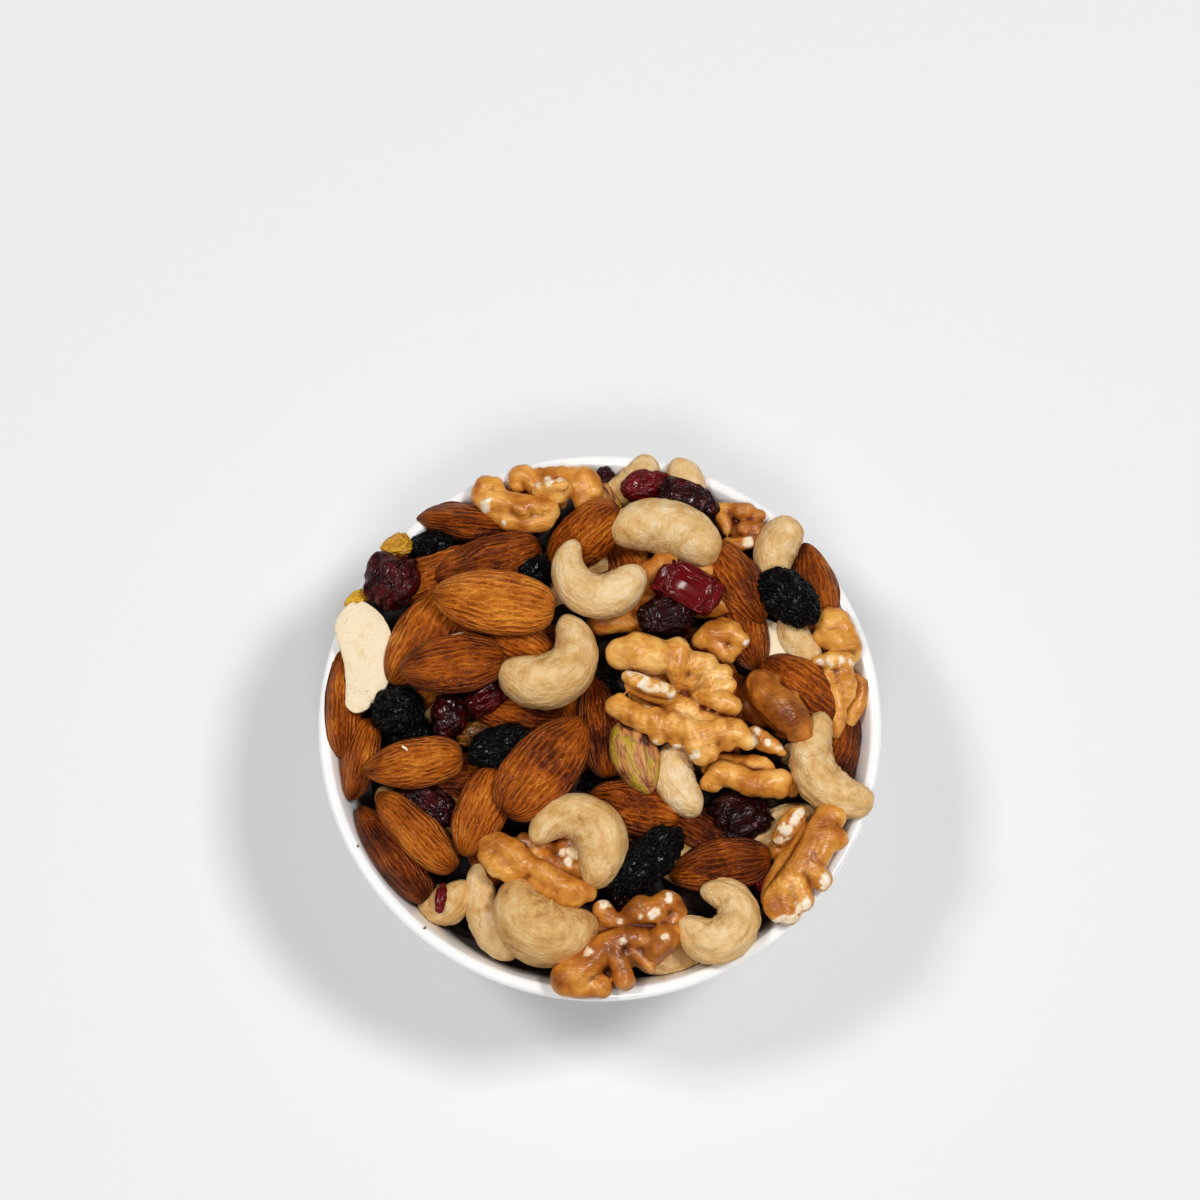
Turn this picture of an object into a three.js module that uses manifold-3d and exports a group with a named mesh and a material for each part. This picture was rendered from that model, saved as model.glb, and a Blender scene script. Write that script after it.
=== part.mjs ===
// A small glazed porcelain bowl heaped with mixed nuts and dried berries.
// Millimetres, +Z up, with the origin at the middle of the bowl's foot and the front at -Y.
import * as THREE from "three";
import { mergeVertices } from "three/addons/utils/BufferGeometryUtils.js";
import Module from "manifold-3d";

const wasm = await Module();
wasm.setup();

// ---- Driving dimensions ----

// The bowl.
const RIM_RADIUS = 60;
const BOWL_HEIGHT = 52;
const LIP_THICKNESS = 2.8;
const FOOT_RADIUS = 28;
const FOOT_WIDTH = 3;
const FOOT_HEIGHT = 3.5;
const BASE_THICKNESS = 4;
const BOWL_SIDES = 44;
const WALL_STEPS = 6;
const FLARE_STEPS = 2;
const LIP_STEPS = 4;
const LIP_END = 145;

// What the nuts keep clear of the glaze, and the sizes under which slivers between nuts, and dents in a
// walnut, are closed up.
const GAP = 0.3;
const FINEST_DETAIL = 0.25;
const WALNUT_DETAIL = 0.5;

// The heap's core lies this far under the middles of the nuts round it.
const CORE_DEPTH = 1.5;
const CORE_REACH = 5;
const CORE_RINGS = 7;
const CORE_SIDES = 24;

// The line of sight that the places of the nuts are read along, in columns and rows of a square view.
const VIEW_MIDDLE = 600;
const PIXELS_PER_TAN = 4230;
const EYE_DISTANCE = 900;
const EYE_ELEVATION = 75.3;
const BOWL_COLUMN = 600;
const BOWL_ROW = 722;

// ---- Where each nut lies ----

// Column and row of its middle in the view, rise of its middle over the rim, the bearing of its tip
// (turn), how far the tip is lifted (tilt), the roll about its length, and length, width, thickness.
const ALMONDS = [
  [463, 521, -1, 175, 0, 70, 20, 12, 8],
  [487, 562, 3, 198, 0, 20, 24, 12, 8],
  [437, 577, 0, 200, 0, 10, 23, 12, 8],
  [494, 602, 11, 172, 0, 0, 26, 13.8, 8],
  [425, 636, 3, 235, 0, 0, 25, 13, 8],
  [452, 664, 9, 188, 0, 0, 22, 12.3, 8],
  [505, 640, 4, 156, 0, 0, 23, 11, 8],
  [583, 539, 3, 215, -35, 0, 22, 12, 8.5],
  [345, 705, -3, 90, 0, 75, 24, 12, 7.5],
  [360, 759, -2, 258, 0, 60, 18, 10, 7],
  [414, 763, 4, 189, 0, 0, 21, 10.5, 7.5],
  [544, 767, 8, 51, 0, 0, 26, 15, 8],
  [481, 812, 4, 248, 0, 0, 20, 11.5, 8],
  [416, 832, 1, 134, 0, 35, 23, 10, 8],
  [393, 854, -3, 126, 0, 70, 25, 12, 8.5],
  [720, 866, 1, 190, 0, 0, 21.5, 11, 8],
  [690, 828, -2, 150, 0, 0, 21, 11, 8],
  [634, 808, 1, 165, 0, 0, 20, 12, 8],
  [602, 728, 1, 100, 0, 0, 22, 11, 8],
  [515, 712, 0, 170, 0, 0, 20, 11, 8],
  [733, 584, 4, -55, 0, 20, 21, 12, 8],
  [742, 628, 1, -70, 0, 0, 20, 10, 8],
  [815, 588, -1, 100, 0, 0, 20, 10, 8],
  [799, 690, 1, 142, 0, 0, 20, 13, 8],
  [842, 752, -5, 75, 0, 60, 20, 11, 8],
];

// As above, with the hollow side's bearing 90 degrees on from the turn, then the length over all,
// the fatness, the bend of the bean in degrees, how much fatter the end is that the turn points to, and
// how much of the upper half is there (1 for a whole nut, near 0 for a split one).
const CASHEWS = [
  [592, 583, 10, -24, 0, 0, 22.5, 9.3, 150, 0.22, 1],
  [557, 667, 8, 40, 0, 0, 24.5, 11.5, 130, -0.2, 1],
  [667, 531, 6, 165, 0, 35, 24.5, 12.3, 80, -0.05, 1],
  [634, 483, -1, 40, 8, 0, 13, 8.6, 60, 0, 1],
  [682, 502, 1, 80, 6, 0, 20, 9, 50, 0, 1],
  [365, 658, 3, 94, 0, 0, 24.5, 11, 50, 0.28, 0.1],
  [448, 903, -4, 20, 30, 0, 12, 9, 40, 0, 1],
  [488, 912, -2, -72, 0, 40, 23, 8, 60, 0.15, 1],
  [541, 926, 3, -28, 0, 0, 21.5, 15.5, 60, 0, 1],
  [582, 832, 7, 143, 0, 0, 24, 11, 150, -0.22, 1],
  [677, 780, 3, -75, 0, 0, 17, 9, 60, 0, 1],
  [777, 551, 2, 250, 0, 0, 16, 9.4, 60, -0.1, 1],
  [773, 643, 1, -50, 0, 0, 11.5, 7.5, 30, 0, 0.1],
  [797, 640, 0, -60, 0, 0, 13, 7.5, 60, 0, 1],
  [825, 771, 3, -62, 0, 0, 26, 9.8, 105, 0.05, 1],
  [724, 922, 3, 60, 0, 0, 20, 10, 190, -0.2, 1],
  [670, 952, -5, 10, 0, 0, 18, 9, 60, 0, 1],
];

// Each kernel by its ridges. A ridge is a chain of knots: column, row, rise over the rim, and girth,
// which is the ridge's radius there.
const WALNUTS = [
  [
    [[487, 488, 4, 2.9], [482, 496, 4, 2.6], [492, 502, 4.5, 2.8], [548, 508, 4.5, 2.4]],
    [[492, 506, 3.5, 2.8], [508, 517, 3, 3.0], [542, 520, 3, 2.8], [551, 512, 4, 2.0]],
  ],
  [
    [[520, 476, 1.5, 2.5], [518, 484, 1, 2.2]],
    [[524, 474, 2, 2.3], [538, 490, 2.5, 2.0]],
    [[540, 476, 2, 2.0], [546, 484, 2.5, 2.0]],
    [[551, 475, 2, 2.1], [556, 488, 2.5, 2.0]],
    [[562, 475, 2, 2.1], [568, 490, 2.5, 2.0]],
    [[573, 476, 2, 2.1], [578, 492, 2.5, 2.2]],
    [[586, 479, 2.5, 2.8], [591, 492, 2.5, 2.7], [584, 503, 2, 2.2]],
    [[594, 480, 2.5, 1.6], [597, 492, 2.5, 1.5]],
    [[535, 484, 0, 2.8], [585, 488, 0, 3.0]],
  ],
  [
    [[540, 496, 4, 2.0], [556, 494, 4.5, 2.5], [564, 488, 5, 1.8]],
  ],
  [
    [[741, 511, 2, 1.9], [747, 510, 2, 1.7]],
    [[744, 529, 1.4, 1.8], [766, 530, 0.4, 1.0]],
    [[727, 545, 2.4, 1.6], [748, 542, 2.8, 1.6]],
    [[757, 540, 1.2, 1.6], [761, 538, 1, 1.2]],
  ],
  [
    [[622, 654, 8.2, 3.6], [638, 651, 9.5, 4.2], [655, 656, 9.6, 4.0]],
    [[676, 651, 9.3, 3.1], [677, 664, 9, 3.0], [682, 690, 4, 1.8]],
    [[697, 664, 8.5, 2.9], [708, 663, 8.3, 2.2]],
    [[703, 664, 8.2, 2.6], [692, 678, 6.8, 2.5], [684, 690, 4.2, 1.8]],
    [[724, 673, 8, 1.9], [710, 677, 8, 2.4], [696, 684, 6.2, 2.2]],
    [[729, 686, 8, 1.8], [714, 687, 8, 2.2], [698, 691, 5.8, 2.0]],
    [[733, 706, 8, 2.1], [722, 702, 8.4, 2.4], [694, 692, 5, 1.8]],
    [[616, 706, 8.5, 2.4], [650, 722, 9.5, 2.5], [698, 733, 9.5, 2.8], [740, 735, 9, 2.4],
      [748, 741, 8, 2.0]],
    [[620, 701, 9, 1.8], [636, 717, 10.4, 2.2], [645, 726, 9.6, 1.8]],
    [[655, 718, 10.2, 2.4], [659, 735, 9, 2.2]],
    [[672, 722, 10.2, 2.2], [677, 741, 8.6, 1.8]],
    [[690, 728, 10.4, 2.4], [701, 754, 8.6, 2.5]],
    [[722, 728, 10.2, 2.3], [727, 742, 9, 2.1]],
  ],
  [
    [[487, 843, 5, 2.2], [499, 845, 5.5, 2.9], [521, 864, 6, 3.2]],
    [[488, 855, 5, 2.4], [512, 871, 5.5, 2.6]],
    [[527, 866, 5.8, 2.2], [540, 870, 6.8, 2.4], [572, 890, 7, 2.8], [587, 892, 6.2, 2.2]],
    [[536, 882, 5.8, 2.0], [564, 896, 6.2, 2.5], [576, 899, 6, 2.0]],
  ],
  [
    [[526, 843, 2, 2.4], [548, 850, 2, 2.2]],
    [[530, 850, 2, 2.6], [556, 868, 2.2, 2.6]],
    [[563, 848, 3, 2.2], [572, 843, 3.4, 2.4], [580, 850, 3, 2.2]],
    [[566, 854, 3, 2.4], [584, 872, 3.2, 2.0]],
  ],
  [
    [[603, 910, 4, 2.3], [612, 920, 3.4, 1.9], [621, 921, 3.8, 1.7], [641, 909, 5, 3.1]],
    [[641, 911, 5, 2.8], [655, 911, 5, 2.8]],
    [[655, 908, 4.6, 2.6], [667, 901, 5, 2.5], [679, 912, 4, 1.9], [668, 924, 3.6, 2.2]],
    [[678, 932, 3.8, 1.9], [664, 940, 4.5, 3.4], [656, 948, 4.2, 3.0], [642, 936, 3, 2.6]],
    [[588, 951, 4, 1.9], [630, 938, 4.8, 2.4], [642, 940, 4.4, 2.4]],
    [[601, 950, 4, 3.0], [576, 974, 4, 3.8], [566, 978, 3.8, 3.4]],
    [[566, 984, 3.5, 2.8], [598, 986, 3.5, 2.4]],
    [[600, 985, 3.4, 2.4], [603, 990, 3, 1.9]],
    [[614, 952, 4, 2.6], [625, 981, 3.4, 2.3]],
  ],
  [
    [[702, 640, 4, 2.4], [714, 633, 5, 2.8], [728, 632, 5.4, 2.6], [741, 640, 5.2, 1.9]],
    [[716, 645, 4.5, 2.4], [729, 658, 4, 1.4]],
  ],
  [
    [[650, 577, 3, 3.6], [652, 600, 3, 3.6], [640, 618, 2, 3.4]],
    [[600, 622, 2, 3.0], [640, 622, 3, 3.0]],
    [[664, 566, 4, 3.2], [690, 562, 4, 3.4], [712, 572, 4, 3.2], [722, 584, 4, 2.0]],
    [[700, 600, 2, 4.0], [730, 606, 3, 2.6]],
  ],
  [
    [[830, 622, 2, 3.2], [838, 622, 2.4, 2.9], [843, 630, 2, 2.6]],
    [[825, 636, 1.6, 2.6], [838, 641, 2.4, 3.0], [855, 648, 1, 1.7]],
    [[842, 652, 1.2, 2.6], [853, 657, 0.8, 1.8]],
    [[843, 672, 1.8, 2.2], [846, 684, 2, 2.6], [843, 705, 1.2, 1.3]],
  ],
  [
    [[855, 679, -1, 1.4], [861, 683, -0.6, 1.6], [848, 724, -1.8, 1.4]],
  ],
  [
    [[760, 683, 6, 3.0], [778, 704, 7, 4.0], [800, 731, 6.2, 2.6]],
    [[782, 700, 6.8, 2.6], [792, 697, 6.8, 1.7]],
    [[796, 708, 6.6, 2.2], [804, 726, 6.6, 2.1]],
    [[796, 733, 6.4, 2.2], [806, 735, 6.2, 1.8]],
  ],
  [
    [[755, 735, 3, 2.0], [763, 741, 3.6, 2.3], [783, 753, 3, 0.9]],
  ],
  [
    [[712, 781, 3, 2.3], [720, 773, 3.8, 2.8], [750, 784, 4.2, 2.8], [780, 781, 4, 2.6]],
    [[778, 784, 3.8, 2.3], [780, 791, 3.6, 1.9]],
    [[752, 764, 2, 2.2], [768, 768, 3, 1.6]],
  ],
  [
    [[829, 812, 4, 2.5], [834, 817, 4, 2.7]],
    [[826, 816, 4, 2.6], [826, 835, 4.5, 3.0], [836, 839, 4, 2.6]],
    [[826, 840, 4.5, 2.8], [820, 858, 4, 2.4]],
    [[808, 866, 4.5, 2.6], [822, 880, 4, 2.4]],
    [[796, 882, 4.6, 2.6], [804, 901, 4, 2.4]],
    [[782, 896, 4.4, 2.8], [790, 914, 3.6, 2.4]],
    [[774, 906, 4, 2.4], [777, 914, 3.6, 2.0]],
    [[820, 826, 4, 2.6], [800, 866, 4.5, 2.6], [774, 900, 4, 2.5]],
  ],
  [
    [[779, 838, 3.2, 1.8], [787, 828, 4.2, 2.5], [801, 811, 3.8, 1.3]],
  ],
];

// As for the almonds; the last number of a red berry is 1 when it is round and less when it is boxy.
const RED_BERRIES = [
  [690, 588, 9, -29, 0, 12, 16.2, 10.8, 8, 0.42],
  [668, 616, 7, 10, 0, 0, 13.5, 10.5, 9, 0.6],
  [644, 486, 3, 8, 0, 0, 11, 6.5, 6.5, 0.8],
  [680, 500, 3, -20, 0, 0, 12, 10, 8, 0.7],
  [705, 503, 2, -60, 0, 0, 9, 5, 6, 0.8],
  [447, 716, 2, 80, 0, 0, 9.5, 8, 8, 0.8],
  [487, 699, 3, 35, 0, 0, 11, 6.5, 6.5, 0.8],
  [428, 808, -1, -35, 0, 0, 13, 11, 8, 0.7],
  [391, 581, 4, 60, 0, 0, 13.2, 12, 11, 0.9],
  [441, 899, 0.6, 80, 0, 0, 8, 3, 2.4, 0.6],
  [740, 815, 0, 20, 0, 0, 14, 11, 9, 0.75],
  [762, 880, -1, 60, 0, 0, 5, 3, 3, 0.6],
  [606, 479, -1, 90, 0, 0, 7, 4.5, 4.5, 0.8],
];
const RAISINS = [
  [431, 546, 0, 10, 0, 0, 10, 7, 6],
  [532, 569, 4, 30, 0, 0, 8, 7, 6],
  [398, 711, 3, 0, 0, 0, 11.7, 11, 9],
  [410, 738, -1, 0, 0, 0, 11, 9, 8],
  [499, 746, 6, 22, 0, 0, 14.5, 9, 7],
  [646, 861, 6, 40, 0, 0, 20.5, 10, 8],
  [788, 597, 6, -40, 0, 0, 16.5, 10.5, 8],
  [397, 546, 3, 20, 0, 0, 7, 5.5, 5],
  [357, 600, 1.5, 30, 0, 0, 6, 4, 4],
  [473, 735, -1, 0, 0, 0, 9, 6, 6],
];
const PISTACHIOS = [
  [636, 757, 5, -71, 0, 0, 17, 10, 9],
  [608, 508, 0, 100, 0, 0, 12, 6, 6],
];

// ---- Small tools ----

const radians = THREE.MathUtils.degToRad;

function solidOf(geometry) {
  geometry.deleteAttribute("normal");
  geometry.deleteAttribute("uv");
  const merged = mergeVertices(geometry, 1e-3);
  return new wasm.Manifold(new wasm.Mesh({
    numProp: 3,
    vertProperties: merged.attributes.position.array,
    triVerts: new Uint32Array(merged.index.array),
  }));
}

function geometryOf(solid) {
  const { vertProperties, triVerts } = solid.getMesh();
  const geometry = new THREE.BufferGeometry();
  geometry.setAttribute("position", new THREE.BufferAttribute(vertProperties, 3));
  geometry.setIndex(new THREE.BufferAttribute(triVerts, 1));
  geometry.computeVertexNormals();
  return geometry;
}

function lathe(profile, sides) {
  return new THREE.LatheGeometry(profile, sides).rotateX(Math.PI / 2);
}

// The point at a given height that shows at a column and row of the view.
function placeSeen(column, row, height) {
  const elevation = radians(EYE_ELEVATION);
  const axisElevation = elevation - Math.atan((BOWL_ROW - VIEW_MIDDLE) / PIXELS_PER_TAN);
  const eye = new THREE.Vector3(0, -Math.cos(elevation), Math.sin(elevation));
  eye.multiplyScalar(EYE_DISTANCE).add(new THREE.Vector3(0, 0, BOWL_HEIGHT));
  const ray = new THREE.Vector3(0, Math.cos(axisElevation), -Math.sin(axisElevation));
  const up = new THREE.Vector3(0, Math.sin(axisElevation), Math.cos(axisElevation));
  ray.addScaledVector(up, (VIEW_MIDDLE - row) / PIXELS_PER_TAN);
  ray.x = (column - BOWL_COLUMN) / PIXELS_PER_TAN;
  return eye.addScaledVector(ray, (height - eye.z) / ray.z);
}

// A ball whose poles lie along X, each point moved by a rule of its direction.
function shapedBall(around, along, rule) {
  const ball = new THREE.SphereGeometry(1, around, along).rotateZ(-Math.PI / 2);
  const points = ball.attributes.position;
  const point = new THREE.Vector3();
  for (let i = 0; i < points.count; i += 1) {
    point.fromBufferAttribute(points, i);
    rule(point);
    points.setXYZ(i, point.x, point.y, point.z);
  }
  return ball;
}

// ---- The bowl ----

const outerFoot = new THREE.Vector2(FOOT_RADIUS + 1.5, FOOT_HEIGHT);
const outerLip = new THREE.Vector2(RIM_RADIUS, BOWL_HEIGHT - LIP_THICKNESS / 2);
const innerFloor = new THREE.Vector2(FOOT_RADIUS - 6, FOOT_HEIGHT + BASE_THICKNESS);
const flareFoot = new THREE.Vector2(RIM_RADIUS - 5.8, BOWL_HEIGHT - 8.2);
const outerWall = new THREE.QuadraticBezierCurve(
  outerFoot,
  new THREE.Vector2(RIM_RADIUS - 11, 12),
  outerLip,
);
const innerWall = new THREE.QuadraticBezierCurve(
  innerFloor,
  new THREE.Vector2(RIM_RADIUS - 14.5, 14),
  flareFoot,
);

// The rounding of the lip, from its outer side over the top to where the inside flares away.
function lipArc(radius) {
  const points = [];
  for (let i = 1; i <= LIP_STEPS; i += 1) {
    const angle = radians((LIP_END * i) / LIP_STEPS);
    points.push(new THREE.Vector2(
      RIM_RADIUS - LIP_THICKNESS / 2 + radius * Math.cos(angle),
      outerLip.y + radius * Math.sin(angle),
    ));
  }
  return points;
}

const flare = new THREE.QuadraticBezierCurve(
  flareFoot,
  new THREE.Vector2(RIM_RADIUS - 4.7, BOWL_HEIGHT - 3.7),
  lipArc(LIP_THICKNESS / 2).at(-1),
);

// The inside from its floor up to just under the lip.
const inside = [...innerWall.getPoints(WALL_STEPS), ...flare.getPoints(FLARE_STEPS).slice(1, -1)];

function bowl() {
  const underside = FOOT_HEIGHT - 1.5;
  const profile = [
    new THREE.Vector2(0, underside),
    new THREE.Vector2(FOOT_RADIUS - FOOT_WIDTH - 1, underside),
    new THREE.Vector2(FOOT_RADIUS - FOOT_WIDTH, 0),
    new THREE.Vector2(FOOT_RADIUS, 0),
    ...outerWall.getPoints(WALL_STEPS),
    ...lipArc(LIP_THICKNESS / 2),
    ...inside.toReversed(),
    new THREE.Vector2(0, innerFloor.y - 0.5),
  ];
  return solidOf(lathe(profile, BOWL_SIDES));
}

// All the room that the nuts may take: inside the bowl, and over it as far out as its lip reaches.
function roomForNuts() {
  const ceiling = BOWL_HEIGHT + 60;
  const clearWall = inside.map((p) => new THREE.Vector2(p.x - GAP, p.y + GAP));
  const clearLip = lipArc(LIP_THICKNESS / 2 + GAP).reverse();
  const profile = [
    new THREE.Vector2(0, innerFloor.y + GAP),
    ...clearWall,
    ...clearLip,
    new THREE.Vector2(RIM_RADIUS, ceiling),
    new THREE.Vector2(0, ceiling),
  ];
  return solidOf(lathe(profile, BOWL_SIDES));
}

// ---- The nuts ----

// Blunt at one end and more pointed at the other, and flatter than it is wide.
function almond(long, wide, thick) {
  return shapedBall(9, 6, (p) => {
    const fullness = (1 - p.x * p.x + 0.002) ** ((-0.11 * (1 - p.x)) / 2 - 0.02);
    const taper = 1.03 * ((1 - p.x) / 2 + 0.27) ** 0.22 * fullness;
    p.set(p.x * long / 2, p.y * taper * wide / 2, p.z * taper * thick / 2);
  });
}

// A bean bent round its hollow side, with round ends. A split one is flat on top.
function cashew(long, fat, bend, swelling, upperShare) {
  const half = radians(bend) / 2;
  const spread = half > Math.PI / 2 ? 1 : Math.sin(half);
  const radius = (long - fat) / 2 / spread;
  const middle = (radius * (1 + Math.cos(half))) / 2;
  return shapedBall(8, 7, (p) => {
    const bearing = p.x * (half + fat / 2 / radius);
    const swell = (1 - p.x * p.x + 1e-6) ** -0.15 * (1 + swelling * p.x) * (fat / 2);
    const out = radius + p.z * swell;
    const across = p.y * swell * (p.y > 0 ? upperShare : 1);
    p.set(out * Math.sin(bearing), middle - out * Math.cos(bearing), across);
  });
}

// A wrinkled berry: an oval or a rounded box with a few shallow lumps.
function berry(long, wide, thick, squareness = 1) {
  return shapedBall(7, 5, (p) => {
    const lumps = 1 + 0.08 * Math.sin(4.3 * p.y + 2.1 * p.x) * Math.cos(3.7 * p.z - 1.3 * p.x);
    for (const axis of ["x", "y", "z"]) {
      p[axis] = Math.sign(p[axis]) * Math.abs(p[axis]) ** squareness;
    }
    p.divideScalar(Math.max(1, p.length()) ** 0.6);
    p.set(p.x * lumps * long / 2, p.y * lumps * wide / 2, p.z * lumps * thick / 2);
  });
}

// One stretch of a walnut's ridge: a ball drawn out between two knots.
function stretch([column, row, rise, girth], [nextColumn, nextRow, nextRise, nextGirth]) {
  const start = placeSeen(column, row, BOWL_HEIGHT + rise);
  const end = placeSeen(nextColumn, nextRow, BOWL_HEIGHT + nextRise);
  const along = end.clone().sub(start).normalize();
  const turn = new THREE.Quaternion().setFromUnitVectors(new THREE.Vector3(1, 0, 0), along);
  return solidOf(shapedBall(6, 4, (p) => {
    const far = p.x > 0;
    p.applyQuaternion(turn).multiplyScalar(far ? nextGirth : girth).add(far ? end : start);
  }));
}

function walnut(ridges) {
  const stretches = ridges.flatMap((ridge) => ridge.slice(1).map((knot, i) => stretch(ridge[i], knot)));
  return wasm.Manifold.union(stretches).asOriginal().simplify(WALNUT_DETAIL);
}

// ---- The heap ----

function placed(geometry, [column, row, rise, turn = 0, tilt = 0, roll = 0]) {
  geometry.rotateX(radians(roll));
  geometry.rotateY(radians(-tilt));
  geometry.rotateZ(radians(turn));
  const spot = placeSeen(column, row, BOWL_HEIGHT + rise);
  geometry.translate(spot.x, spot.y, spot.z);
  return solidOf(geometry);
}

const oval = (shape) => (row) => placed(shape(...row.slice(6)), row);
const nuts = [
  ...WALNUTS.map(walnut),
  ...ALMONDS.map(oval(almond)),
  ...CASHEWS.map(oval(cashew)),
  ...RED_BERRIES.map(oval(berry)),
  ...RAISINS.map(oval(berry)),
  ...PISTACHIOS.map(oval(almond)),
];

// How high the core stands at a place: a little under the middles of the nuts near it.
const walnutKnots = WALNUTS.flat().flatMap((ridge) => ridge.filter((knot, i) => i % 2 === 0));
const middles = [...walnutKnots, ...ALMONDS, ...CASHEWS, ...RED_BERRIES, ...RAISINS, ...PISTACHIOS]
  .map(([column, row, rise]) => placeSeen(column, row, BOWL_HEIGHT + rise));

function coreHeight(x, y) {
  let weights = 0;
  let heights = 0;
  for (const middle of middles) {
    const weight = Math.exp(-((middle.x - x) ** 2 + (middle.y - y) ** 2) / CORE_REACH ** 2) + 1e-6;
    weights += weight;
    heights += weight * middle.z;
  }
  return heights / weights - CORE_DEPTH;
}

// The nuts that don't show, as one body that fills the bowl and rises under those that do.
function core() {
  const edge = RIM_RADIUS - LIP_THICKNESS - 2;
  const profile = [new THREE.Vector2(0, innerFloor.y)];
  for (let ring = 1; ring <= CORE_RINGS; ring += 1) {
    profile.push(new THREE.Vector2((edge * ring) / CORE_RINGS, innerFloor.y));
  }
  for (let ring = CORE_RINGS; ring > 0; ring -= 1) {
    profile.push(new THREE.Vector2((edge * ring) / CORE_RINGS, BOWL_HEIGHT));
  }
  profile.push(new THREE.Vector2(0, BOWL_HEIGHT));
  const geometry = lathe(profile, CORE_SIDES);
  const points = geometry.attributes.position;
  for (let i = 0; i < points.count; i += 1) {
    if (points.getZ(i) > BOWL_HEIGHT - 1) {
      points.setZ(i, coreHeight(points.getX(i), points.getY(i)));
    }
  }
  return solidOf(geometry);
}

// The nuts and the core as one body, with sealed hollows filled and loose scraps dropped. Hollows
// that only meet the outside in a point come apart from it one after another.
function heap() {
  let body = nuts.reduce((joined, nut) => joined.add(nut), core()).intersect(roomForNuts());
  body = body.asOriginal().simplify(FINEST_DETAIL);
  for (let bodies = []; bodies.length !== 1;) {
    bodies = solidOf(geometryOf(body)).decompose().sort((a, b) => b.volume() - a.volume());
    [body] = bodies;
  }
  return body;
}

// ---- The object ----

function meshOf(name, solid, colour, roughness) {
  const material = new THREE.MeshStandardMaterial({ color: colour, roughness, metalness: 0 });
  const mesh = new THREE.Mesh(geometryOf(solid), material);
  mesh.name = name;
  return mesh;
}

const object = new THREE.Group();
object.add(meshOf("bowl", bowl(), 0xf1f0ec, 0.12));
object.add(meshOf("mixed_nuts", heap(), 0xb9783f, 0.55));

export default object;
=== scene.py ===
import math
import random

import bpy
import numpy as np
from mathutils import Euler, Matrix, Vector, bvhtree, noise


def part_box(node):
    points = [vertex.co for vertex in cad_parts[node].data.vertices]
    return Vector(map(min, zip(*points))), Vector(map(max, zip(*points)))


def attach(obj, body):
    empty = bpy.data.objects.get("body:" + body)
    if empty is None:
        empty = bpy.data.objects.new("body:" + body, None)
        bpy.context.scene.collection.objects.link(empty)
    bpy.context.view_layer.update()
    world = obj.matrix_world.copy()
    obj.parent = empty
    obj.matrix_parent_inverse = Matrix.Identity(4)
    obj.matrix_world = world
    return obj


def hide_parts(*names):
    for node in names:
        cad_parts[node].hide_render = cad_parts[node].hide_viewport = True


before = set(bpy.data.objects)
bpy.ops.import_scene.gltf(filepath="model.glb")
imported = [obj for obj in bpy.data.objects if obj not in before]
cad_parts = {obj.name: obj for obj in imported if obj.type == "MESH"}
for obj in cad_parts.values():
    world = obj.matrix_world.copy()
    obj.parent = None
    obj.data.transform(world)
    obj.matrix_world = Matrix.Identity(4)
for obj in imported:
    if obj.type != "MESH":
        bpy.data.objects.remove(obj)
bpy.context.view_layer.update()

# ---------------------------------------------------------------------------------------------------
# The view
# A pale tabletop in soft studio light, seen from high over the front of the bowl. Three small square
# lights hang high: the strongest on the right, one on the left and a weaker one in front, so the
# shade falls softly on both sides.
# ---------------------------------------------------------------------------------------------------

MM = 0.001
bowl_low, bowl_high = (Vector(corner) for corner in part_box("bowl"))
RIM_RADIUS = (bowl_high.x - bowl_low.x) / 2
LIP_THICKNESS = 2.8 * MM
BOWL_HEIGHT = 52 * MM

VIEW_SIDE = 1200
PIXELS_PER_TAN = 4230
EYE_DISTANCE = 0.9
EYE_ELEVATION = math.radians(75.3)
BOWL_COLUMN = 600
BOWL_ROW = 722
SENSOR_WIDTH = 36

axis_elevation = EYE_ELEVATION - math.atan((BOWL_ROW - VIEW_SIDE / 2) / PIXELS_PER_TAN)
eye = Vector((0, -math.cos(EYE_ELEVATION), math.sin(EYE_ELEVATION))) * EYE_DISTANCE
eye.z += BOWL_HEIGHT
bpy.ops.object.camera_add(location=eye, rotation=(math.pi / 2 - axis_elevation, 0, 0))
camera = bpy.context.object
camera.data.sensor_width = SENSOR_WIDTH
camera.data.lens = SENSOR_WIDTH * PIXELS_PER_TAN / VIEW_SIDE
camera.data.clip_end = 20
bpy.context.scene.camera = camera
bpy.context.scene.view_settings.view_transform = "Standard"
bpy.context.scene.view_settings.look = "Medium High Contrast"


def srgb(red, green, blue, alpha=1.0):
    """A colour as it looks on a screen, 0 to 255, turned into the amounts of light that shaders use."""
    def light(level):
        share = level / 255
        return share / 12.92 if share <= 0.04045 else ((share + 0.055) / 1.055) ** 2.4
    return (light(red), light(green), light(blue), alpha)


def new_material(name):
    """A fresh material with its node tree and its main shader."""
    material = bpy.data.materials.new(name)
    material.use_nodes = True
    return material, material.node_tree, material.node_tree.nodes["Principled BSDF"]


def add_node(tree, kind, **settings):
    """A node of the kind, with its properties and its numbered or named inputs set."""
    made = tree.nodes.new(kind)
    for name, value in settings.items():
        if name == "inputs":
            for socket, amount in value.items():
                made.inputs[socket].default_value = amount
        else:
            setattr(made, name, value)
    return made


def add_ramp(tree, factor, stops):
    """A colour ramp through the given (place, colour) stops."""
    ramp = tree.nodes.new("ShaderNodeValToRGB")
    elements = ramp.color_ramp.elements
    while len(elements) < len(stops):
        elements.new(0.5)
    for element, (place, colour) in zip(elements, stops):
        element.position = place
        element.color = colour
    tree.links.new(factor, ramp.inputs["Fac"])
    return ramp.outputs["Color"]


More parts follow.
